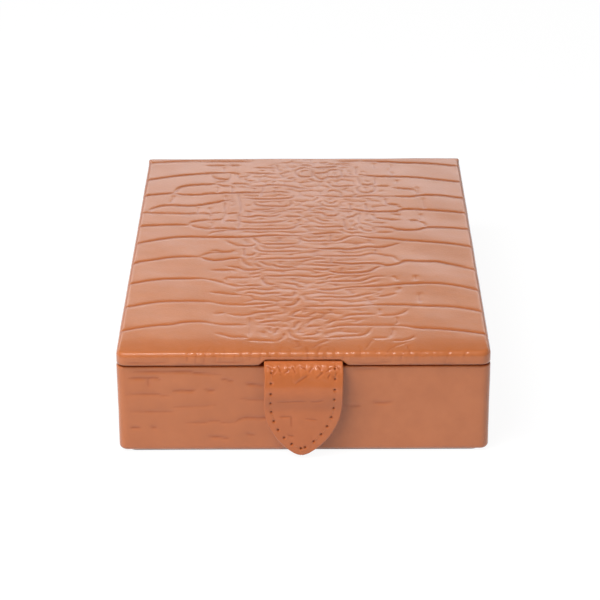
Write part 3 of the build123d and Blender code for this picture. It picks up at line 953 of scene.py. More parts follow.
@dataclass(frozen=True)
class SuedeFinish(Finish):
    """Short-napped suede cloth with brushed light and dark patches."""

    colour: Colour = (0.52, 0.40, 0.29)
    dark: Colour = (0.40, 0.295, 0.205)
    sheen: float = 0.35

    def sockets(self, bench: NodeBench) -> dict[str, object]:
        """Brushed patches and single hairs darken the cloth, and the nap roughens it."""
        nap = bench.noise(2600, 3, 0.7)
        brushed = bench.spread(bench.noise(45, 4, 0.6), 0.36, 0.66)
        tone = bench.blend(brushed, self.dark, self.colour)
        return {
            "Base Color": bench.blend(bench.spread(nap, 0.3, 0.7, 0.25, 0), tone, self.dark),
            "Roughness": 0.92,
            "Normal": bench.bump(bench.noise(320), 0.2, 0.0003, bench.bump(nap, 0.35, 0.00025)),
            "Sheen Weight": self.sheen,
            "Sheen Roughness": 0.45,
            "Specular IOR Level": 0.2,
        }


@dataclass(frozen=True)
class CardFinish(Finish):
    """Grey-brown pressed board with fibres and flecks."""

    colour: Colour = (0.33, 0.28, 0.215)
    fleck: Colour = (0.21, 0.165, 0.12)
    fibre: float = 480.0

    def sockets(self, bench: NodeBench) -> dict[str, object]:
        """Fibres and scattered flecks darken the board."""
        fibres = bench.noise(self.fibre, 5, 0.7, bench.stretched((1.0, 0.22, 1.0)))
        tone = bench.blend(bench.spread(fibres, 0.35, 0.7, 0, 0.6), self.colour, self.fleck)
        flecks = bench.maths("MULTIPLY", bench.spread(bench.noise(1500, 2), 0.62, 0.72), 0.6)
        return {
            "Base Color": bench.blend(flecks, tone, self.fleck),
            "Roughness": bench.spread(fibres, 0.3, 0.7, 0.82, 0.95),
            "Normal": bench.bump(fibres, 0.3, 0.0002),
            "Specular IOR Level": 0.25,
        }


@dataclass(frozen=True)
class FoamFinish(Finish):
    """Pale open-celled foam."""

    colour: Colour = (0.72, 0.68, 0.58)
    # Painted shade: hollow is the colour standing in for the shade inside the open cells.
    hollow: Colour = (0.48, 0.43, 0.34)

    def sockets(self, bench: NodeBench) -> dict[str, object]:
        """Painted shade darkens the middle of each hollow cell."""
        cells = bench.cells(1100)
        tone = bench.blend(bench.spread(cells, 0.1, 0.6, 0.7, 0), self.colour, self.hollow)
        return {"Base Color": tone, "Roughness": 0.95, "Normal": bench.bump(cells, 0.5, 0.0004)}


@dataclass(frozen=True)
class ThreadFinish(Finish):
    """Waxed thread, twisted, a touch darker than the leather."""

    colour: Colour = (0.54, 0.175, 0.066)
    dark: Colour = (0.46, 0.135, 0.046)

    def sockets(self, bench: NodeBench) -> dict[str, object]:
        """Stretched noise stands for the twist."""
        twist = bench.noise(3200, 2, 0.5, bench.stretched((1.0, 1.0, 0.4)))
        tone = bench.blend(bench.spread(twist, 0.35, 0.65), self.dark, self.colour)
        return {"Base Color": tone, "Roughness": 0.62, "Normal": bench.bump(twist, 0.5, 0.0001)}


@dataclass(frozen=True)
class SteelFinish(Finish):
    """Nickelled steel, finely brushed."""

    colour: Colour = (0.62, 0.62, 0.64)
    worn: Colour = (0.58, 0.58, 0.60)
    roughness: Pair = (0.27, 0.33)

    def sockets(self, bench: NodeBench) -> dict[str, object]:
        """Stretched noise brushes the colour, the gloss and the surface."""
        brushed = bench.noise(900, 4, 0.6, bench.stretched((1.0, 4.0, 0.15)))
        return {
            "Base Color": bench.blend(bench.spread(brushed, 0.3, 0.7), self.colour, self.worn),
            "Metallic": 1.0,
            "Roughness": bench.spread(brushed, 0.3, 0.7, *self.roughness),
            "Normal": bench.bump(brushed, 0.05, 0.00008),
        }


@dataclass(frozen=True)
class MirrorFinish(Finish):
    """Silvered glass with the faintest clouding, only partly metal: the rest shows its light grey
    as a diffuse surface, a painted reflection of a bright room.
    """

    colour: Colour = (0.86, 0.88, 0.88)
    clouded: Colour = (0.82, 0.85, 0.85)
    silver: float = 0.55

    def sockets(self, bench: NodeBench) -> dict[str, object]:
        """Clouds dim the colour and the gloss very slightly."""
        cloud = bench.noise(35, 2)
        return {
            "Base Color": bench.blend(bench.spread(cloud, 0.3, 0.7), self.colour, self.clouded),
            # Painted reflection: the share that is not metal shows the light grey colour as a
            # diffuse surface.
            "Metallic": self.silver,
            "Roughness": bench.spread(cloud, 0.3, 0.7, 0.015, 0.04),
        }


@dataclass(frozen=True)
class BaseSheetFinish(Finish):
    """Thin bonded sheet under the box, leather-coloured and pebbled."""

    colour: Colour = (0.40, 0.145, 0.070)
    rubbed: float = 0.72

    def sockets(self, bench: NodeBench) -> dict[str, object]:
        """Rubbed places are darker, and pebbles roughen the sheet."""
        dark = tuple(self.rubbed * c for c in self.colour)
        tone = bench.blend(bench.spread(bench.noise(70, 4), 0.35, 0.65), self.colour, dark)
        normal = bench.bump(bench.cells(800), 0.4, 0.0002)
        return {"Base Color": tone, "Roughness": 0.7, "Normal": normal}


# Leather outside


@dataclass
class LidCover:
    """Embossed leather over the padded lid, wrapped round its edges and turned in below."""

    leather: Material
    proud: float = 0.2
    corner_r: float = 3.5
    top_r: float = 1.7
    bottom_r: float = 0.8
    skin: float = 1.0
    turn_in: float = 14.0
    step: float = 0.58
    notch_half: float = 14.1
    notch_ramp: float = 3.2
    notch_rise: float = 2.2
    notch_dip: float = 0.10
    notch_dip_x: float = 1.5
    notch_dip_width: float = 4.0
    slot_depth: float = 11.4
    front_roll: float = 0.60
    front_roll_depth: float = 12.0
    fall_from: float = 1.2
    fall_over: float = 2.5
    back_power: float = 7.0
    pucker: float = 0.055
    pucker_left: float = -43.0
    pucker_past: float = 0.6
    pucker_width: float = 2.6
    crease_start: Pair = (180, 183.5)
    crease_end: Pair = (186.5, 190)
    crease_lean: float = 1.6
    swells: tuple[Swell, ...] = ((0.05, 5, 34), (0.006, 6, 9))

    def __post_init__(self) -> None:
        """Take the outline and the heights from the lid's CAD leather."""
        low, high = node_box("lid_leather")
        self.half_x, self.y0, self.y1 = high[0] + self.proud, low[1], high[1]
        self.under_z, self.top_z = low[2], high[2]

    def strokes(self) -> list[Stroke]:
        """All grooves of the lid: the drawn ones, and seeded fine creases across its front edge."""
        rng = np.random.default_rng(11)
        strokes = list(LID_STROKES)
        for x in EDGE_CREASES:
            lean = rng.uniform(-self.crease_lean, self.crease_lean)
            start, end = rng.uniform(*self.crease_start), rng.uniform(*self.crease_end)
            points = (x - lean, start, x, (start + end) / 2, x + lean * 0.4, end)
            strokes.append((Groove.FOLD, points))
        for first, last, v in EDGE_LINES:
            strokes.append((L, (first, v, (first + last) / 2, v + 0.4, last, v - 0.2)))
        return strokes

    def puckers(self, x: Array, v: Array) -> Array:
        """Fine puckers of the leather where it is drawn over the front edge.

        They are short waves across the edge, strongest between the left quarter and the middle,
        and fade out before the left corner.

        Args:
            x: across the lid.
            v: from its back edge, unrolled.

        Returns:
            Heights.
        """
        edge = self.y1 - self.y0
        near = np.exp(-(((v - edge - self.pucker_past) / self.pucker_width) ** 2))
        share = smooth_step((x - self.pucker_left) / 4) * (1 - 0.35 * smooth_step((x - 4) / 30))
        return self.pucker * near * share * waves(x * 1.9, v * 0.55, 81, 3.2, 9)

    def fall(self, y: Array) -> Array:
        """How far the padded top falls towards the front, with the square of the way there."""
        past = np.clip((self.y0 + self.front_roll_depth - y) / self.front_roll_depth, 0, 1)
        return self.front_roll * past**2

    def profile(self) -> tuple[Array, int]:
        """Inset and height of the wrap, from the top round to the inside.

        Returns:
            The points, and how many of them belong to the outer face.
        """
        top, low, skin, slot = self.top_z, self.under_z, self.skin, self.slot_depth
        edge, foot = self.top_r, self.bottom_r
        outer = run((self.corner_r, top), (edge, top), 0.6)
        outer += arc(edge, top - edge, edge, 90, 0, 7)[:-1]
        outer += run((0, top - edge), (0, low + foot), 0.55)
        outer += arc(foot, low + foot, foot, 0, -90, 4)[:-1]
        outer += run((foot, low), (3.5, low), 1.4) + run((3.5, low), (slot, low), 4.0)
        outer += [(slot, low), (slot + 0.1, low), (self.turn_in, low)]
        inner = [(inset, low + skin) for inset in (self.turn_in, slot + 0.1, slot, skin)]
        inner += [(skin, top - edge), (edge, top - skin), (self.corner_r, top - skin)]
        return np.array(outer + inner), len(outer)

    def sharpened(self, profile: Array, loop: RimLoop) -> tuple[Array, Array]:
        """Inset and height of every row and column, with a sharper top edge along the back.

        Args:
            profile: inset and height of the rows.
            loop: the columns.

        Returns:
            Two arrays of rows by columns.
        """
        inset = np.repeat(profile[:, 0:1], len(loop.base), axis=1)
        z = np.repeat(profile[:, 1:2], len(loop.base), axis=1)
        corner_z = self.top_z - self.top_r
        bend = (profile[:, 0] < self.top_r) & (profile[:, 1] > corner_z)
        circle = np.stack([self.top_r - profile[bend, 0], profile[bend, 1] - corner_z], 1)
        sharp = squared(circle / self.top_r, self.back_power) * self.top_r
        share = smooth_step(loop.out[:, 1] * 1.4)
        inset[bend] += share * (self.top_r - sharp[:, 0:1] - inset[bend])
        z[bend] += share * (corner_z + sharp[:, 1:2] - z[bend])
        return inset, z

    def notch(self, x: Array, y: Array) -> Array:
        """Share of the notch over the tab at plan points: 1 above the tab, 0 away from it."""
        across = smooth_step((self.notch_half + self.notch_ramp / 2 - np.abs(x)) / self.notch_ramp)
        dip = np.exp(-(((x - self.notch_dip_x) / self.notch_dip_width) ** 2))
        across *= 1 - self.notch_dip * dip
        return across * (y < self.y0 + self.slot_depth + 0.05)

    def emboss(self, x: Array, v: Array) -> tuple[Array, Array]:
        """Relief of the leather: grooves, a gentle unevenness and the puckers.

        Args:
            x: across the lid.
            v: from its back edge, unrolled.

        Returns:
            Heights and strengths of the painted groove shade from 0 to 1.
        """
        height, strength = GrooveMap(self.strokes(), scales=SmallScales()).sample(x, v)
        return height + uneven(x, v, self.swells) + self.puckers(x, v), strength

    def wrap(self, loop: RimLoop, profile: Array, height: Array) -> Array:
        """Carry the profile round the outline.

        The edge falls with the padded top, the notch over the tab lifts the lower rows, and the
        relief pushes the outer rows along the profile's normals.

        Args:
            loop: the columns.
            profile: inset and height of the rows.
            height: relief of the outer rows.

        Returns:
            Points, as rows by columns by three.
        """
        inset, z = self.sharpened(profile, loop)
        plan = loop.at(inset)
        high = smooth_step((z - self.under_z - self.fall_from) / self.fall_over)
        z = z - self.fall(plan[..., 1]) * high
        share = self.notch(plan[..., 0], plan[..., 1])
        face = (z - self.under_z) / (self.top_z - self.top_r - self.under_z)
        lift = self.notch_rise * share * np.clip(1 - face, 0, 1)
        clear = self.under_z + (self.notch_rise + 0.05) * share
        outer = len(height)
        z[:outer] += lift[:outer]
        z[outer:] = np.maximum(z[outer:], clear[outer:])
        normal = left_normals(profile)
        normal[0] = (0, -1)
        plan[:outer] += loop.out[None] * (height * normal[:outer, 0:1])[..., None]
        z[:outer] -= height * normal[:outer, 1:2]
        return np.concatenate([plan, z[..., None]], 2)

    def build(self) -> None:
        """Make the cover.

        The top is a grid over the sharp inner rectangle. The wrap is a profile carried round the
        rounded outline. The relief is read at the unrolled position: the base point plus the
        length of the profile so far. A cap closes the skin inside.
        """
        loop = RimLoop(self.half_x, self.y0, self.y1, self.corner_r, self.step,
                       back_power=self.back_power)
        first_y = loop.count_x + loop.fan
        gx, gy = np.meshgrid(loop.base[: loop.count_x, 0],
                             loop.base[first_y: first_y + loop.count_y, 1])
        profile, outer = self.profile()
        flat = loop.base[None] + loop.out[None] * travelled(profile)[:outer, None, None]
        x, y = (np.append(grid, flat[..., k]) for k, grid in enumerate((gx, gy)))
        height, strength = self.emboss(x, self.y1 - y)
        shown = (profile[:outer, 1] > self.under_z + 0.3)[:, None]
        count, columns = gx.size, len(loop.base)
        gz = self.top_z + height[:count].reshape(gx.shape) - self.fall(gy)
        wrap = self.wrap(loop, profile, height[count:].reshape(outer, -1) * shown)
        wrap[0, :, 2] = self.rim_heights(loop, gz)
        points = np.vstack([np.stack([gx, gy, gz], -1).reshape(-1, 3), wrap.reshape(-1, 3)])
        strength[count:] *= np.repeat(shown, columns)
        values = np.append(strength, np.zeros(len(points) - len(strength)))
        band = grid_faces(len(profile), columns, start=count, closed=True)[:, ::-1]
        ring = np.arange(len(points) - columns, len(points))
        apart = np.linalg.norm(np.diff(points[ring], axis=0, prepend=points[ring[-1:]]), axis=1)
        cover = make_mesh(
            "lid_cover", points, np.vstack([grid_faces(*gx.shape), band]), self.leather,
            {"groove": values}, caps=[ring[apart > 1e-4]],
        )
        settle(cover, "leather", "lid_leather", body="lid")

    @staticmethod
    def rim_heights(loop: RimLoop, gz: Array) -> Array:
        """Heights of the grid's border, in the order of the loop's columns.

        Args:
            loop: the columns.
            gz: heights of the top grid.

        Returns:
            One height for each column.
        """
        corners = [gz[0, -1], gz[-1, -1], gz[-1, 0], gz[0, 0]]
        sides = [gz[0, :], gz[:, -1], gz[-1, ::-1], gz[::-1, 0]]
        parts = []
        for side, corner in zip(sides, corners):
            parts += [side, np.full(loop.fan, corner)]
        return np.concatenate(parts)


@dataclass
class CaseCover:
    """Embossed leather round the case walls, over the rim and under the base."""

    leather: Material
    proud: float = 0.7
    rim_sunk: float = 0.35
    corner_r: float = 3.0
    bottom_r: float = 1.6
    rim_r: float = 0.6
    skin: float = 1.0
    wall: float = 4.0
    turn_in: float = 12.0
    under_turn_in: float = 14.0
    step: float = 0.66
    relief: float = 2.4
    # Painted shade: tone scales the groove darkening on the walls.
    tone: float = 1.35
    # Painted shade: the rim's top and inner edge, in the gap under the lid, are darkened.
    rim_shade: float = 0.9
    rim_wave: float = 0.03
    relief_cap: float = 0.04
    foot_fade: float = 1.5
    swells: tuple[Swell, ...] = ((0.05, 31, 26), (0.018, 32, 7))

    def __post_init__(self) -> None:
        """Take the outline and the heights from the case's CAD leather."""
        low, high = node_box("case_leather")
        self.half_x, self.half_y = high[0] + self.proud, high[1]
        self.under_z, self.rim_z = low[2], high[2] - self.rim_sunk

    def profile(self) -> tuple[Array, slice]:
        """Closed outline of the leather in inset and height, starting under the base.

        Returns:
            The points, and the rows of the outer face, from the foot to the start of the rim.
        """
        low, rim, skin, wall = self.under_z, self.rim_z, self.skin, self.wall
        bottom, edge = self.bottom_r, self.rim_r
        under = run((self.under_turn_in, low), (3.0, low), 4.0)
        under += run((3.0, low), (bottom, low), 0.5)
        face = arc(bottom, low + bottom, bottom, -90, 0, 8)[:-1]
        face += run((0, low + bottom), (0, rim - edge), 0.62)
        face += arc(edge, rim - edge, edge, 0, 90, 6)[:-1]
        rest = run((edge, rim), (wall - edge, rim), 0.9)
        rest += arc(wall - edge, rim - edge, edge, 90, 180, 5)
        rest += run((wall, rim - edge - 0.1), (wall, rim - self.turn_in), 2.4)
        rest += [(wall, rim - self.turn_in), (wall - skin, rim - self.turn_in)]
        rest += [(wall - skin, rim - 0.7), (skin, rim - 0.7), (skin, low + bottom)]
        rest += [(bottom, low + skin), (self.under_turn_in, low + skin)]
        return np.array(under + face + rest), slice(len(under), len(under) + len(face) + 1)

    def unrolled(self, loop: RimLoop) -> Array:
        """Distance of each column round the outside, which is x along the front wall."""
        rim = loop.at(np.zeros(1))[0]
        return rim[0, 0] + travelled(rim)

    def strokes(self) -> list[Stroke]:
        """Grooves of the four walls, in unrolled distance and height."""
        side, back = 2 * self.half_y, 2 * self.half_x
        right, behind = self.half_x, self.half_x + side
        left = behind + back
        strokes = list(FRONT_STROKES)
        walls = ((21, right + 2, behind - 2), (22, behind, left), (23, left, left + side - 6))
        for seed, first, last in walls:
            strokes += wall_strokes(first, last, seed, self.under_z, self.rim_z)
        return strokes

    def build(self) -> None:
        """Make the cover: the closed profile carried round the outline, then embossed.

        The relief pushes the outer face outwards, and fades out towards its foot. Grooves and the
        rim's top get painted shade.
        """
        loop = RimLoop(self.half_x, -self.half_y, self.half_y, self.corner_r, self.step)
        profile, outer = self.profile()
        plan = loop.at(profile[:, 0])
        z = np.repeat(profile[:, 1:2], plan.shape[1], axis=1)
        around = np.broadcast_to(self.unrolled(loop), z.shape)
        fade = np.zeros((len(profile), 1))
        fade[outer, 0] = smooth_step((profile[outer, 1] - self.under_z) / self.foot_fade)
        grooves = GrooveMap(self.strokes(), pillow_height=0.05, pillow_radius=2.6)
        height, strength = grooves.sample(around, z)
        height = self.relief * height + uneven(around, z, self.swells)
        rim = np.exp(-(((z - self.rim_z + 0.3) / 0.5) ** 2))
        height += self.rim_wave * rim * waves(around * 1.6, z, 33, 3.5, 8)
        height = np.minimum(height, self.relief_cap) * fade
        plan += loop.out[None] * (height * -left_normals(profile)[:, 0:1])[..., None]
        points = np.concatenate([plan, z[..., None]], 2)
        # Painted shade: the groove strength, scaled by tone, darkens the wall grooves.
        values = np.clip(self.tone * strength, 0, 1) * fade
        # Painted shade: the rim's top and inner edge, hidden in the gap under the lid, get a dark
        # groove value.
        values[(profile[:, 1] > self.rim_z - 0.12) & (profile[:, 0] > 0.3)] = self.rim_shade
        faces = grid_faces(*z.shape, closed=True, ring=True)
        cover = make_mesh("case_cover", points.reshape(-1, 3), faces, self.leather,
                          {"groove": values.ravel()})
        settle(cover, "leather", "case_leather", body="case")


@dataclass
class ClosingTab:
    """Closing tab: two stitched plies that come out under the lid, bend and hang in front.

    A point of the tab is given by x, by its distance s from the glued end along the face, and by
    its radius from the centre of the bend.
    """

    leather: Material
    waxed: Material
    side_r: float = 23.0
    nose_r: float = 5.5
    inset: float = 2.6
    ply_gap: float = 0.02
    pitch: float = 3.7
    right_start: float = 1.5
    step: float = 0.26
    edge_r: float = 0.42
    hole_depth: float = 0.65
    hole_r: float = 0.38
    hole_shade: float = 2.0
    seam_draw: float = 0.015
    seam_width: float = 0.6
    thread_r: float = 0.24
    thread_sunk: float = 0.205
    thread_dive: float = 0.40
    thread_span: float = 0.84
    thread_taper: float = 0.45
    shift: float = 0.25
    lean: float = 0.035
    seam_aside: float = 0.3
    bulge: float = 1.2
    bulge_start: float = 2.5
    bulge_length: float = 15.5
    swells: tuple[Swell, ...] = ((0.03, 41, 11),)
    crinkle: float = 0.07
    crinkle_at: float = 14.6
    crinkle_width: float = 3.0

    def __post_init__(self) -> None:
        """Take the plies' sizes from their CAD nodes and work out the outline's circles."""
        low, high = node_box("tab_leather")
        glued_low, glued_high = node_box("tab_root")
        self.half_w, self.bend_z, self.hang = high[0], high[2], high[2] - low[2]
        self.edge_y, self.root = glued_low[1], glued_high[1] - glued_low[1]
        self.face_r, self.split_r = self.edge_y - low[1], self.edge_y - high[1]
        self.back_r = self.edge_y - node_box("tab_lining")[1][1]
        self.bend = math.pi / 2 * self.face_r
        self.nose_z = self.bend_z - self.hang + self.nose_r
        self.side_x = self.side_r - self.half_w
        self.turn = math.acos(self.side_x / (self.side_r - self.nose_r))
        self.side_z = self.nose_z + (self.side_r - self.nose_r) * math.sin(self.turn)
        self.meet_z = self.nose_z - self.nose_r * math.sin(self.turn)
        self.far = self.root + self.bend + self.hang

    def along(self, z: Array | float) -> Array | float:
        """Distance s of a height on the hanging part, or the height of a distance."""
        return self.root + self.bend + self.bend_z - z

    def half_width(self, s: Array) -> Array:
        """Half the tab's width: straight, then a large arc, then the arc of the nose.

        Args:
            s: distances from the glued end.

        Returns:
            Half widths.
        """
        z = self.along(s)
        side = np.sqrt(np.clip(self.side_r**2 - (self.side_z - z) ** 2, 0, None)) - self.side_x
        nose = np.sqrt(np.clip(self.nose_r**2 - (self.nose_z - z) ** 2, 0, None))
        return np.where(z > self.side_z, self.half_w, np.where(z > self.meet_z, side, nose))

    def place(self, x: Array, s: Array, radius: Array) -> Array:
        """Points of the bent tab: level, then a quarter circle, then straight down.

        Args:
            x: across the tab.
            s: along the face from the glued end.
            radius: distance from the bend's centre.

        Returns:
            Points.
        """
        turn = np.clip((s - self.root) / self.bend, 0, 1) * math.pi / 2
        y = self.edge_y + np.clip(self.root - s, 0, None) - radius * np.sin(turn)
        straight = s - self.root - self.bend
        down = np.clip(straight, 0, None)
        past = np.clip((straight + self.bulge_start) / self.bulge_length, 0, 1)
        y = y - self.bulge * np.sin(math.pi * past) ** 2
        z = self.bend_z + radius * np.cos(turn) - down
        aside = self.shift * smooth_step((s - self.root) / 6) - self.lean * down
        return np.stack([x + aside, y, z], -1)

    def rows(self) -> Array:
        """Stations along the tab, even at first and then by angle round the nose."""
        even = graded(0, self.along(self.meet_z), self.step, self.edge_r)[:-4]
        angle = np.linspace(math.pi / 2 - self.turn, 0, 14)[1:]
        nose = self.along(self.nose_z - self.nose_r * np.cos(angle))
        return np.concatenate([even, [self.along(self.meet_z)], nose])

    def grid(self) -> tuple[Array, Array, Array]:
        """Grid over the tab, with each point's distance to the outline.

        Returns:
            x, s and distance.
        """
        s = self.rows()
        u = graded(-self.half_w, self.half_w, self.step, self.edge_r) / self.half_w
        x = u[None] * self.half_width(s)[:, None]
        s = np.broadcast_to(s[:, None], x.shape)
        ends = np.linspace(0, self.far, 700)
        sides = np.stack([self.half_width(ends), ends], 1)
        outline = np.vstack([sides, sides * (-1, 1)])
        gap = np.full(x.shape, 9.0)
        for start in range(0, len(outline), 100):
            part = outline[start: start + 100]
            apart = np.hypot(x[..., None] - part[:, 0], s[..., None] - part[:, 1])
            gap = np.minimum(gap, apart.min(-1))
        gap[:, [0, -1]] = 0
        return x, s, np.minimum(gap, s)

    def seam(self, length: Array, side: int) -> tuple[Array, Array]:
        """Points of the seam, which runs inside the outline.

        Args:
            length: distance along the seam from the tip.
            side: -1 for the left half and 1 for the right.

        Returns:
            x and s.
        """
        nose, flank = self.nose_r - self.inset, self.side_r - self.inset
        first = nose * (math.pi / 2 - self.turn)
        second = first + flank * self.turn
        a = np.clip(length, 0, first) / nose
        b = self.turn - (np.clip(length, first, second) - first) / flank
        tip = length < first
        x = np.where(tip, nose * np.sin(a), flank * np.cos(b) - self.side_x)
        z = np.where(tip, self.nose_z - nose * np.cos(a), self.side_z - flank * np.sin(b))
        z = z + np.clip(length - second, 0, None)
        return side * x - self.seam_aside, self.along(z)

    def holes(self) -> list[tuple[Array, Array]]:
        """Stitch holes of the left and right half, from the tip up to under the lid.

        Returns:
            x and s for each half.
        """
        reach = self.far - self.root - self.inset + 1
        left = np.arange(0, reach, self.pitch)
        right = np.arange(self.right_start, reach, self.pitch)
        return [self.seam(left, -1), self.seam(right, 1)]

    def face(self) -> Piece:
        """Make the outer ply, with stitch holes sunk into its face and painted shade in them.

        A hole is a Gaussian pit. The seam draws the leather in along a shallow trough.

        Returns:
            The ply.
        """
        x, s, edge = self.grid()
        grooves = GrooveMap(TAB_STROKES, pillow_height=0.05, pillow_radius=1.5)
        height, strength = grooves.sample(x, s)
        height += uneven(x, s, self.swells)
        near = np.exp(-(((s - self.crinkle_at) / self.crinkle_width) ** 2))
        height += self.crinkle * near * waves(x * 1.5, s, 43, 2.6, 10)
        height -= self.seam_draw * np.exp(-(((edge - self.inset) / self.seam_width) ** 2))
        for hx, hs in self.holes():
            near = np.min(np.hypot(x[..., None] - hx, s[..., None] - hs), -1)
            pit = np.exp(-((near / self.hole_r) ** 2))
            height -= self.hole_depth * pit
            # Painted shade: each pit raises the groove value so the hole is painted dark.
            strength = np.maximum(strength, self.hole_shade * pit)
        return shell("tab_face", x, s, edge, self.place, (self.split_r + self.ply_gap, self.face_r),
                     self.edge_r, self.leather, height, strength)

    def back(self) -> Piece:
        """Make the inner ply."""
        x, s, edge = (values[::2, ::2] for values in self.grid())
        return shell("tab_back", x, s, edge, self.place, (self.back_r, self.split_r - self.ply_gap),
                     0.35, self.leather)

    def thread(self) -> Piece:
        """Make the stitches, each a tube that dives into the holes at its ends.

        Along a stitch the centre sinks with the sixth power of the way from its middle, and so
        does the tube's radius.

        Returns:
            All stitches as one piece.
        """
        turns, sides = 9, 7
        tube = turns * sides
        t = np.linspace(-1, 1, turns)
        around = np.linspace(0, math.tau, sides, endpoint=False)
        points, faces, start = [], [], 0
        left, right = (np.stack(half, 1) for half in self.holes())
        for line in (left, right, np.stack([left[0], right[0]])):
            for a, b in zip(line, line[1:]):
                centre = (a + b) / 2 + (b - a) / 2 * t[:, None] * self.thread_span
                across = np.array([-(b - a)[1], (b - a)[0]]) / np.linalg.norm(b - a)
                width = self.thread_r * (1 - self.thread_taper * t**6)
                level = self.face_r - self.thread_sunk - self.thread_dive * t**6
                swing = width[:, None] * np.cos(around)
                x, s = centre[:, :1] + across[0] * swing, centre[:, 1:] + across[1] * swing
                radius = level[:, None] + width[:, None] * np.sin(around)
                points.append(self.place(x, s, radius).reshape(-1, 3))
                faces.append(grid_faces(turns, sides, start, closed=True))
                start += tube
        caps = []
        for first in range(0, start, tube):
            caps += [range(first, first + sides)[::-1], range(first + tube - sides, first + tube)]
        return make_mesh("tab_thread", np.vstack(points), np.vstack(faces), self.waxed, caps=caps)

    def build(self) -> None:
        """Make the plies and the thread."""
        face, back, seam = self.face(), self.back(), self.thread()
        for piece in (face, back, seam):
            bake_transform(piece)
        settle(face, "leather", "tab_leather", "tab_root", "tab_bend")
        settle(back, "leather", "tab_lining")
        settle(seam, "thread", "tab_stitches")


@dataclass
class HingeStrips:
    """The leather spine on the back and the folded strip between rim and lid."""

    leather: Material
    cloth: Material
    axis_z: float = 33.75
    spine_edge_r: float = 0.4
    spine_crease: float = 0.28
    crease_width: float = 0.7
    spine_relief: float = 0.6
    spine_bend: Pair = (0.0326, 0.0350)
    thick: float = 0.3
    cloth_edge_r: float = 0.12
    fold_r: float = 0.22
    fold_bend: Pair = (0.0338, 0.0342)

    def spine(self) -> Piece:
        """Make the spine: a strip, creased a little where it bends.

        Returns:
            The spine.
        """
        low, high = node_box("spine_leather")
        x, z, edge = panel(low[::2], high[::2], (0.9, 0.45), self.spine_edge_r)
        strokes = wall_strokes(low[0] + 1, high[0] - 1, 51, low[2], self.axis_z)
        grooves = GrooveMap(strokes, pillow_height=0.03, pillow_radius=1.5)
        height, strength = grooves.sample(x, z)
        crease = np.exp(-(((z - self.axis_z) / self.crease_width) ** 2))
        height = self.spine_relief * height - self.spine_crease * crease

        def place(across: Array, up: Array, level: Array) -> Array:
            """Stand the strip upright at the back."""
            return np.stack([across, level, up], -1)

        return shell("spine_strip", x, z, edge, place, (low[1] + 0.02, high[1]), self.spine_edge_r,
                     self.leather, height, strength)

    def fold(self) -> Piece:
        """Make the folded strip: out along the rim, round a half circle and back under the lid.

        Returns:
            The strip.
        """
        low, high = node_box("inner_hinge")
        leaf = high[1] - low[1] - self.fold_r - self.thick / 2
        middle = (low[2] + high[2]) / 2
        length = 2 * leaf + math.pi * self.fold_r
        x, s, edge = panel((low[0], 0), (high[0], length), (2.0, 0.09), self.cloth_edge_r)

        def place(across: Array, way: Array, level: Array) -> Array:
            """Carry the sheet along the fold's path."""
            turn = np.clip((way - leaf) / self.fold_r, 0, math.pi)
            back = np.clip(way - leaf - math.pi * self.fold_r, 0, None)
            y = low[1] + np.minimum(way, leaf) - back + (self.fold_r + level) * np.sin(turn)
            z = middle - (self.fold_r + level) * np.cos(turn)
            return np.stack([across, y, z], -1)

        levels = (-self.thick / 2, self.thick / 2)
        return shell("inner_fold", x, s, edge, place, levels, self.cloth_edge_r, self.cloth)

    def build(self) -> None:
        """Make both strips, which join case and lid."""
        spine, fold = self.spine(), self.fold()
        for piece, bend in ((spine, self.spine_bend), (fold, self.fold_bend)):
            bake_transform(piece)
        settle(spine, "leather", "spine_leather")
        settle(fold, "suede", "inner_hinge")


class Axis(Enum):
    """Directions, as the index of a coordinate."""

    X = 0
    Y = 1
    Z = 2


@dataclass(frozen=True)
class CoveredCard:
    """A card covered with suede cloth, which stands where a CAD node stands."""

    node: str
    name: str
    thin: Axis
    edge_r: float
    puff: float
    seed: int
    fill: float | None = None
    step: float = 1.5

    def build(self, material: Material) -> None:
        """Make the card: two gently uneven faces that meet in rounded edges.

        Args:
            material: the covering cloth.
        """
        low, high = node_box(self.node)
        thin = self.thin.value
        a, b = (thin + 1) % 3, (thin + 2) % 3
        x, s, edge = panel(low[[a, b]], high[[a, b]], (self.step, self.step), self.edge_r)
        sag = self.puff * (waves(x, s, self.seed, 30) - 1.0) * 0.5

        def place(first: Array, second: Array, level: Array) -> Array:
            """Put the two sheet coordinates and the level in their places."""
            point = np.empty(first.shape + (3,))
            point[..., a], point[..., b], point[..., thin] = first, second, level
            return point

        levels = (low[thin], high[thin])
        card = shell(self.name, x, s, edge, place, levels, self.edge_r, material, sag)
        settle(card, "suede", self.node, body="case")


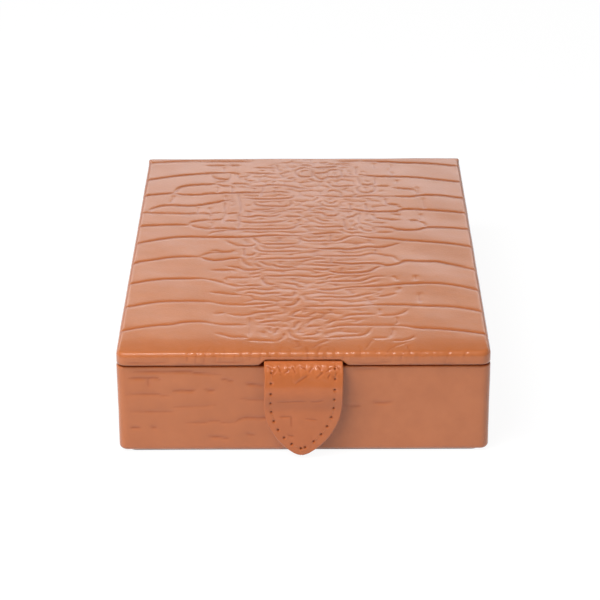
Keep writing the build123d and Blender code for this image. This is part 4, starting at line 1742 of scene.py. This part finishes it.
@dataclass
class Interior:
    """Covered cards, the mirror's frame and the padded ring rolls."""

    suede: Material
    lap: float = 4.0
    frame_edge_r: float = 0.6
    frame_columns: int = 12
    frame_step: float = 1.6
    frame_puff: float = 0.07
    puff_cap: float = 0.06
    rolls: int = 4
    roll_step: float = 1.05
    roll_corner: float = 1.6
    roll_end_r: float = 2.2
    roll_poles: tuple[float, ...] = (0.72, 0.45, 0.2, 0.0)
    roll_fill: float = 0.9
    start_inset: float = 0.55
    swell_cap: float = 0.62
    grow: float = 10.0
    pressure: float = 4.0
    quality: int = 6
    frames: int = 20

    CARDS = (
        CoveredCard("floor_pad", "floor_cover", Axis.Z, 0.6, 0.35, 61, 1.0),
        CoveredCard("lining_front", "front_card", Axis.Y, 0.6, 0.12, 62),
        CoveredCard("lining_back", "back_card", Axis.Y, 0.6, 0.12, 63),
        CoveredCard("lining_left", "left_card", Axis.X, 0.6, 0.12, 64),
        CoveredCard("lining_right", "right_card", Axis.X, 0.6, 0.12, 65),
        CoveredCard("divider_cross", "cross_card", Axis.Y, 0.9, 0.14, 66),
        CoveredCard("divider_long", "long_card", Axis.X, 0.9, 0.14, 67),
        CoveredCard("divider_short", "short_card", Axis.Y, 0.9, 0.14, 68),
    )

    def mirror_frame(self) -> None:
        """Make the covered frame round the mirror, which laps over the glass on all sides.

        Its section runs from the outer edge over the face to the opening and back above it, with
        rounded edges. The columns of the outline and of the opening are joined one to one.
        """
        low, high = node_box("lid_lining")
        glass_low, glass_high = node_box("mirror")
        outer = RimLoop(high[0], low[1], high[1], 1.0, self.frame_step)
        inner = RimLoop(glass_high[0] - self.lap, glass_low[1] + self.lap, glass_high[1] - self.lap,
                        1.0, self.frame_step)
        inner.resample(outer.count_x, outer.count_y)
        a, b = outer.at(np.zeros(1))[0], inner.at(np.zeros(1))[0]
        half, middle = (high[2] - low[2]) / 2, (low[2] + high[2]) / 2
        turn = np.linspace(0, math.pi / 2, 5)
        edge_in, rise = self.frame_edge_r * (1 - np.cos(turn)), half * np.sin(turn)
        across = np.linalg.norm(b - a, axis=1)[:, None]
        share = np.linspace(0, 1, self.frame_columns)[None, 1:-1]
        flat = self.frame_edge_r + (across - 2 * self.frame_edge_r) * share
        edges = np.broadcast_to(edge_in, (len(a), 5))
        distance = np.concatenate([edges, flat, across - edge_in[::-1]], 1)
        lift = np.concatenate([rise, np.full(share.size, half), rise[::-1]])
        ring = a[:, None] + ((b - a) / across)[:, None] * distance[..., None]
        puff = self.frame_puff * waves(ring[..., 0], ring[..., 1], 71, 26) * (lift >= half * 0.99)
        face = middle - lift + np.clip(puff, -self.puff_cap, self.puff_cap)
        back = np.broadcast_to(middle + lift, puff.shape)
        under, over = (np.concatenate([ring, z[..., None]], 2) for z in (face, back))
        loop = np.concatenate([under, over[:, ::-1][:, 1:-1]], 1)
        faces = grid_faces(*loop.shape[:2], closed=True, ring=True)
        surround = make_mesh("mirror_frame", loop.reshape(-1, 3), faces, self.suede)
        settle(surround, "suede", "lid_lining", body="lid")

    def roll_surface(self, low: Array, high: Array, inset: float) -> tuple[Array, Array]:
        """One roll's surface as a closed grid of sections along x.

        The section is an arch: a half circle on straight sides with small bottom corners. At the
        two ends the sections shrink along a quarter circle, and a pole closes each end.

        Args:
            low: lowest corner of the roll.
            high: highest corner.
            inset: how much smaller than its box the surface is.

        Returns:
            Points and quads.
        """
        radius, corner, end_r = (high[1] - low[1]) / 2 - inset, self.roll_corner, self.roll_end_r
        bottom, top = low[2] + inset * 0.4, high[2] - inset
        side = np.linspace(bottom + corner, top - radius, 8)[:-1]
        crown = np.linspace(0, math.pi, 24)
        foot = np.linspace(-math.pi / 2, 0, 5)[:-1]
        base = np.linspace(-(radius - corner), radius - corner, 14)[1:-1]
        toe = np.stack([radius - corner + corner * np.cos(foot),
                        bottom + corner + corner * np.sin(foot)], 1)
        section = np.vstack([
            toe,
            np.stack([np.full_like(side, radius), side], 1),
            np.stack([radius * np.cos(crown), top - radius + radius * np.sin(crown)], 1),
            np.stack([np.full_like(side, -radius), side[::-1]], 1)[:-1],
            (toe * (-1, 1))[::-1],
            np.stack([base, np.full_like(base, bottom)], 1),
        ])
        half_x = (high[0] - low[0]) / 2 - inset
        turn = np.linspace(math.pi / 2, 0, 6)[:-1]
        stations = half_x - end_r + end_r * np.sin(turn)
        shrink = 1 - (end_r / radius) * (1 - np.cos(turn))
        poles = np.array(self.roll_poles) * shrink[0]
        ends = np.full(len(poles), half_x)
        count = int((2 * (half_x - end_r)) / self.roll_step)
        even = np.linspace(-(half_x - end_r), half_x - end_r, count)
        xs = np.concatenate([-ends, -stations, even, stations[::-1], ends])
        scale = np.concatenate([poles[::-1], shrink, np.ones(count), shrink[::-1], poles])
        centre = np.array([0.0, (bottom + top) / 2])
        rings = centre + (section - centre)[None] * scale[:, None, None]
        along = np.broadcast_to(xs[:, None, None], rings.shape[:2] + (1,))
        points = np.concatenate([along, rings], 2)
        points[..., 1] += (low[1] + high[1]) / 2
        return points.reshape(-1, 3), grid_faces(len(xs), len(section), closed=True)

    def swell(self, piece: Piece) -> None:
        """Puff a roll up with cloth pressure and cap how far each point moves.

        The roll is simulated ten times larger, because cloth works poorly on very small meshes.

        Args:
            piece: the roll.
        """
        mesh = piece.data
        rest = np.empty(len(mesh.vertices) * 3, np.float32)
        mesh.vertices.foreach_get("co", rest)
        mesh.vertices.foreach_set("co", rest * self.grow)
        cloth = piece.modifiers.new("cloth", "CLOTH")
        cloth.settings.use_pressure = True
        cloth.settings.uniform_pressure_force = self.pressure
        cloth.settings.effector_weights.gravity = 0.0
        cloth.settings.quality = self.quality
        scene = bpy.context.scene
        for number in range(1, self.frames + 1):
            scene.frame_set(number)
        graph = bpy.context.evaluated_depsgraph_get()
        blown = np.empty_like(rest)
        piece.evaluated_get(graph).data.vertices.foreach_get("co", blown)
        piece.modifiers.remove(cloth)
        scene.frame_set(1)
        move = (blown / self.grow - rest).reshape(-1, 3)
        length = np.linalg.norm(move, axis=1)[:, None]
        move *= np.minimum(1, self.swell_cap * MM / np.maximum(length, 1e-9))
        mesh.vertices.foreach_set("co", rest + move.ravel())
        mesh.update()

    def ring_rolls(self) -> None:
        """Make the padded rolls: one is puffed up, and the others repeat it."""
        low, high = node_box("ring_roll_1")
        points, faces = self.roll_surface(low, high, self.start_inset)
        master = make_mesh("ring_pad_1", points, faces, self.suede)
        self.swell(master)
        for number in range(1, self.rolls + 1):
            roll = master
            if number > 1:
                shift = (node_box(f"ring_roll_{number}")[0][1] - low[1]) * MM
                roll = bpy.data.objects.new(f"ring_pad_{number}", master.data.copy())
                roll.data.transform(Matrix.Translation((0, shift, 0)))
                bpy.context.scene.collection.objects.link(roll)
            smooth = roll.modifiers.new("smooth", "SUBSURF")
            smooth.levels = smooth.render_levels = 1
            settle(roll, "suede", f"ring_roll_{number}", body="case")

    def build(self) -> None:
        """Make every piece of the inside."""
        for card in self.CARDS:
            card.build(self.suede)
        self.mirror_frame()
        self.ring_rolls()


class Hardware:
    """Finishes of the pieces that keep their CAD shape."""

    DRESS = (
        (CardFinish("grey_board"),
         ("front_board", "back_board", "left_board", "right_board", "base_board", "base_infill",
          "lid_board", "lid_infill")),
        (SteelFinish("nickelled_steel"), ("closure_plate", "magnet_cup", "closure_magnet")),
        (FoamFinish("pale_foam"), ("lid_padding",)),
        (MirrorFinish("mirror_glass"), ("mirror",)),
        (BaseSheetFinish("base_sheet"), ("base_cover",)),
    )

    def build(self) -> None:
        """Dress the boards, the steel, the padding, the mirror and the sheet under the base."""
        for finish, nodes in self.DRESS:
            material = finish.make()
            for node in nodes:
                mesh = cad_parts[node].data
                mesh.materials.clear()
                mesh.materials.append(material)
                LOG.info("%s: %s", node, finish.name)


@dataclass(frozen=True)
class Lamp:
    """Soft rectangular lamp, placed in metres."""

    name: str
    at: Point
    target: Point
    size: Pair
    watts: float
    diffuse: bool = True
    glossy: bool = True

    def hang(self) -> None:
        """Add the lamp, turned to its target."""
        data = bpy.data.lights.new(self.name, "AREA")
        data.shape, data.size, data.size_y, data.energy = "RECTANGLE", *self.size, self.watts
        back = np.array(self.at) - np.array(self.target)
        back /= np.linalg.norm(back)
        side = np.cross((0, 0, 1), back)
        side /= np.linalg.norm(side)
        lamp = stand(self.name, data, (side, np.cross(back, side), back), self.at)
        lamp.visible_diffuse, lamp.visible_glossy = self.diffuse, self.glossy


def stand(
    name: str, data: bpy.types.Light | bpy.types.Camera, axes: Sequence[Array], at: Point
) -> Piece:
    """Add a lamp or a camera.

    Args:
        name: its name.
        data: its lamp or camera data.
        axes: the directions of its right, its top and its back.
        at: where it stands.

    Returns:
        The object.
    """
    thing = bpy.data.objects.new(name, data)
    bpy.context.scene.collection.objects.link(thing)
    turn = np.eye(4)
    turn[:3] = np.stack([*axes, at], 1)
    thing.matrix_world = Matrix(turn.tolist())
    return thing


@dataclass
class Studio:
    """White sweep, soft lamps and the camera of the photograph."""

    camera_at: Point = (0.0029, -0.7977, 0.3780)
    yaw: float = -0.317
    pitch: float = 24.377
    roll: float = -0.353
    lens: float = 137.55
    sensor: float = 36.0
    room_light: float = 0.28
    warm_above: float = 0.38
    cool: Colour = (0.99, 1.03, 1.06)
    warm: Colour = (1.0, 0.92, 0.62)
    sweep_y: Pair = (-0.25, 0.1)
    sweep_light: Pair = (0.08, 2.1)
    floor_half: float = 3000.0
    floor_z: float = -0.02
    floor_grey: float = 0.70
    floor_glow: float = 1.10
    floor_share: float = 0.85
    floor_y: Pair = (-0.25, -0.17)
    floor_gloss: Pair = (0.05, 0.85)

    LAMPS = (
        Lamp("key", (-0.34, -0.43, 0.65), (0, 0, 0.02), (0.66, 0.50), 5.15, glossy=False),
        Lamp("above", (-0.30, -0.32, 0.78), (-0.30, 0, 0.02), (0.40, 0.16), 2.1, glossy=False),
        Lamp("strip", (-0.26, -0.32, 0.78), (-0.26, 0, 0.02), (0.50, 0.13), 3.7, diffuse=False),
    )
    # What the gloss sees of the room, as the upward part of the direction and the light there.
    SWEEP = ((0.0, 0.10), (0.26, 0.14), (0.330, 1.50), (0.366, 0.88), (0.390, 0.50), (0.414, 0.35),
             (0.430, 0.25), (0.455, 0.07), (0.52, 0.015), (1.0, 0.015))

    def camera(self) -> None:
        """Place the camera from its yaw, pitch and roll in degrees."""
        yaw, pitch, roll = (math.radians(a) for a in (self.yaw, self.pitch, self.roll))
        forward = np.array([
            math.sin(yaw) * math.cos(pitch), math.cos(yaw) * math.cos(pitch), -math.sin(pitch)
        ])
        level = np.array([math.cos(yaw), -math.sin(yaw), 0.0])
        up = np.cross(level, forward)
        right = math.cos(roll) * level + math.sin(roll) * up
        top = -math.sin(roll) * level + math.cos(roll) * up
        data = bpy.data.cameras.new("camera")
        data.lens, data.sensor_width = self.lens, self.sensor
        camera = stand("camera", data, (right, top, -forward), self.camera_at)
        bpy.context.scene.camera = camera

    def world(self) -> None:
        """Light the room: softly and evenly, but as a bright low sweep behind for the gloss."""
        world = bpy.data.worlds.new("studio")
        bpy.context.scene.world = world
        bench = NodeBench(world, "World")
        split = bench.add("SeparateXYZ", {0: bench.add("TexCoord").outputs["Generated"]}).outputs
        ramp = bench.add("ValToRGB", {0: split["Z"]})
        for index, (at, light) in enumerate(self.SWEEP):
            stops = ramp.color_ramp.elements
            stop = stops[index] if index < 2 else stops.new(at)
            tint = self.warm if at > self.warm_above else self.cool
            stop.position, stop.color = at, (*(light * part for part in tint), 1)
        front = bench.spread(split["Y"], *self.sweep_y, *self.sweep_light)
        sweep = bench.add("Background", {"Color": ramp.outputs[0], "Strength": front})
        room = bench.add("Background", {"Color": (1, 1, 1), "Strength": self.room_light})
        white = bench.add("Background", {"Color": (1, 1, 1)})
        ray = bench.add("LightPath").outputs
        lit = bench.mix(ray["Is Glossy Ray"], room, sweep)
        seen = bench.maths("MAXIMUM", ray["Is Camera Ray"], ray["Is Transmission Ray"])
        bench.feed(bench.surface, bench.mix(seen, lit, white).outputs[0])

    def floor(self) -> None:
        """Make the white floor, which glows a little to the camera and keeps its shadows."""
        material = bpy.data.materials.new("white_sweep")
        bench = NodeBench(material, "Material")
        split = bench.add("SeparateXYZ", {0: bench.place}).outputs
        near = bench.spread(split["Y"], *self.floor_y, *self.floor_gloss)
        ray = bench.add("LightPath").outputs
        glossy = bench.maths("MULTIPLY", ray["Is Glossy Ray"], near)
        seen = bench.maths("MAXIMUM", ray["Is Camera Ray"], glossy)
        matt = bench.add("BsdfDiffuse", {"Color": (self.floor_grey,) * 3})
        glow = bench.add("Emission", {"Strength": self.floor_glow})
        both = bench.mix(bench.maths("MULTIPLY", seen, self.floor_share), matt, glow)
        bench.feed(bench.surface, both.outputs[0])
        xs = np.linspace(-self.floor_half, self.floor_half, 9)
        gx, gy = np.meshgrid(xs, xs)
        points = np.stack([gx, gy, np.full_like(gx, self.floor_z)], -1).reshape(-1, 3)
        make_mesh("floor", points, grid_faces(*gx.shape), material, weld=False)

    def set_up(self) -> None:
        """Make the whole studio."""
        self.camera()
        for lamp in self.LAMPS:
            lamp.hang()
        self.world()
        self.floor()
        bpy.context.scene.view_settings.view_transform = "Standard"


def main() -> None:
    """Build and dress every piece, in order."""
    Studio().set_up()
    leather, suede = LeatherFinish("tan_leather").make(), SuedeFinish("beige_suede").make()
    tab_leather = LeatherFinish(
        "tab_leather", plate=(0.535, 0.144, 0.041), pale=(0.565, 0.160, 0.050), coat=0.72,
        coat_roughness=0.08,
    ).make()
    LidCover(leather).build()
    CaseCover(leather).build()
    ClosingTab(tab_leather, ThreadFinish("waxed_thread").make()).build()
    HingeStrips(leather, suede).build()
    Interior(suede).build()
    Hardware().build()


if __name__ == "__main__":
    logging.basicConfig(level=logging.INFO)
    main()
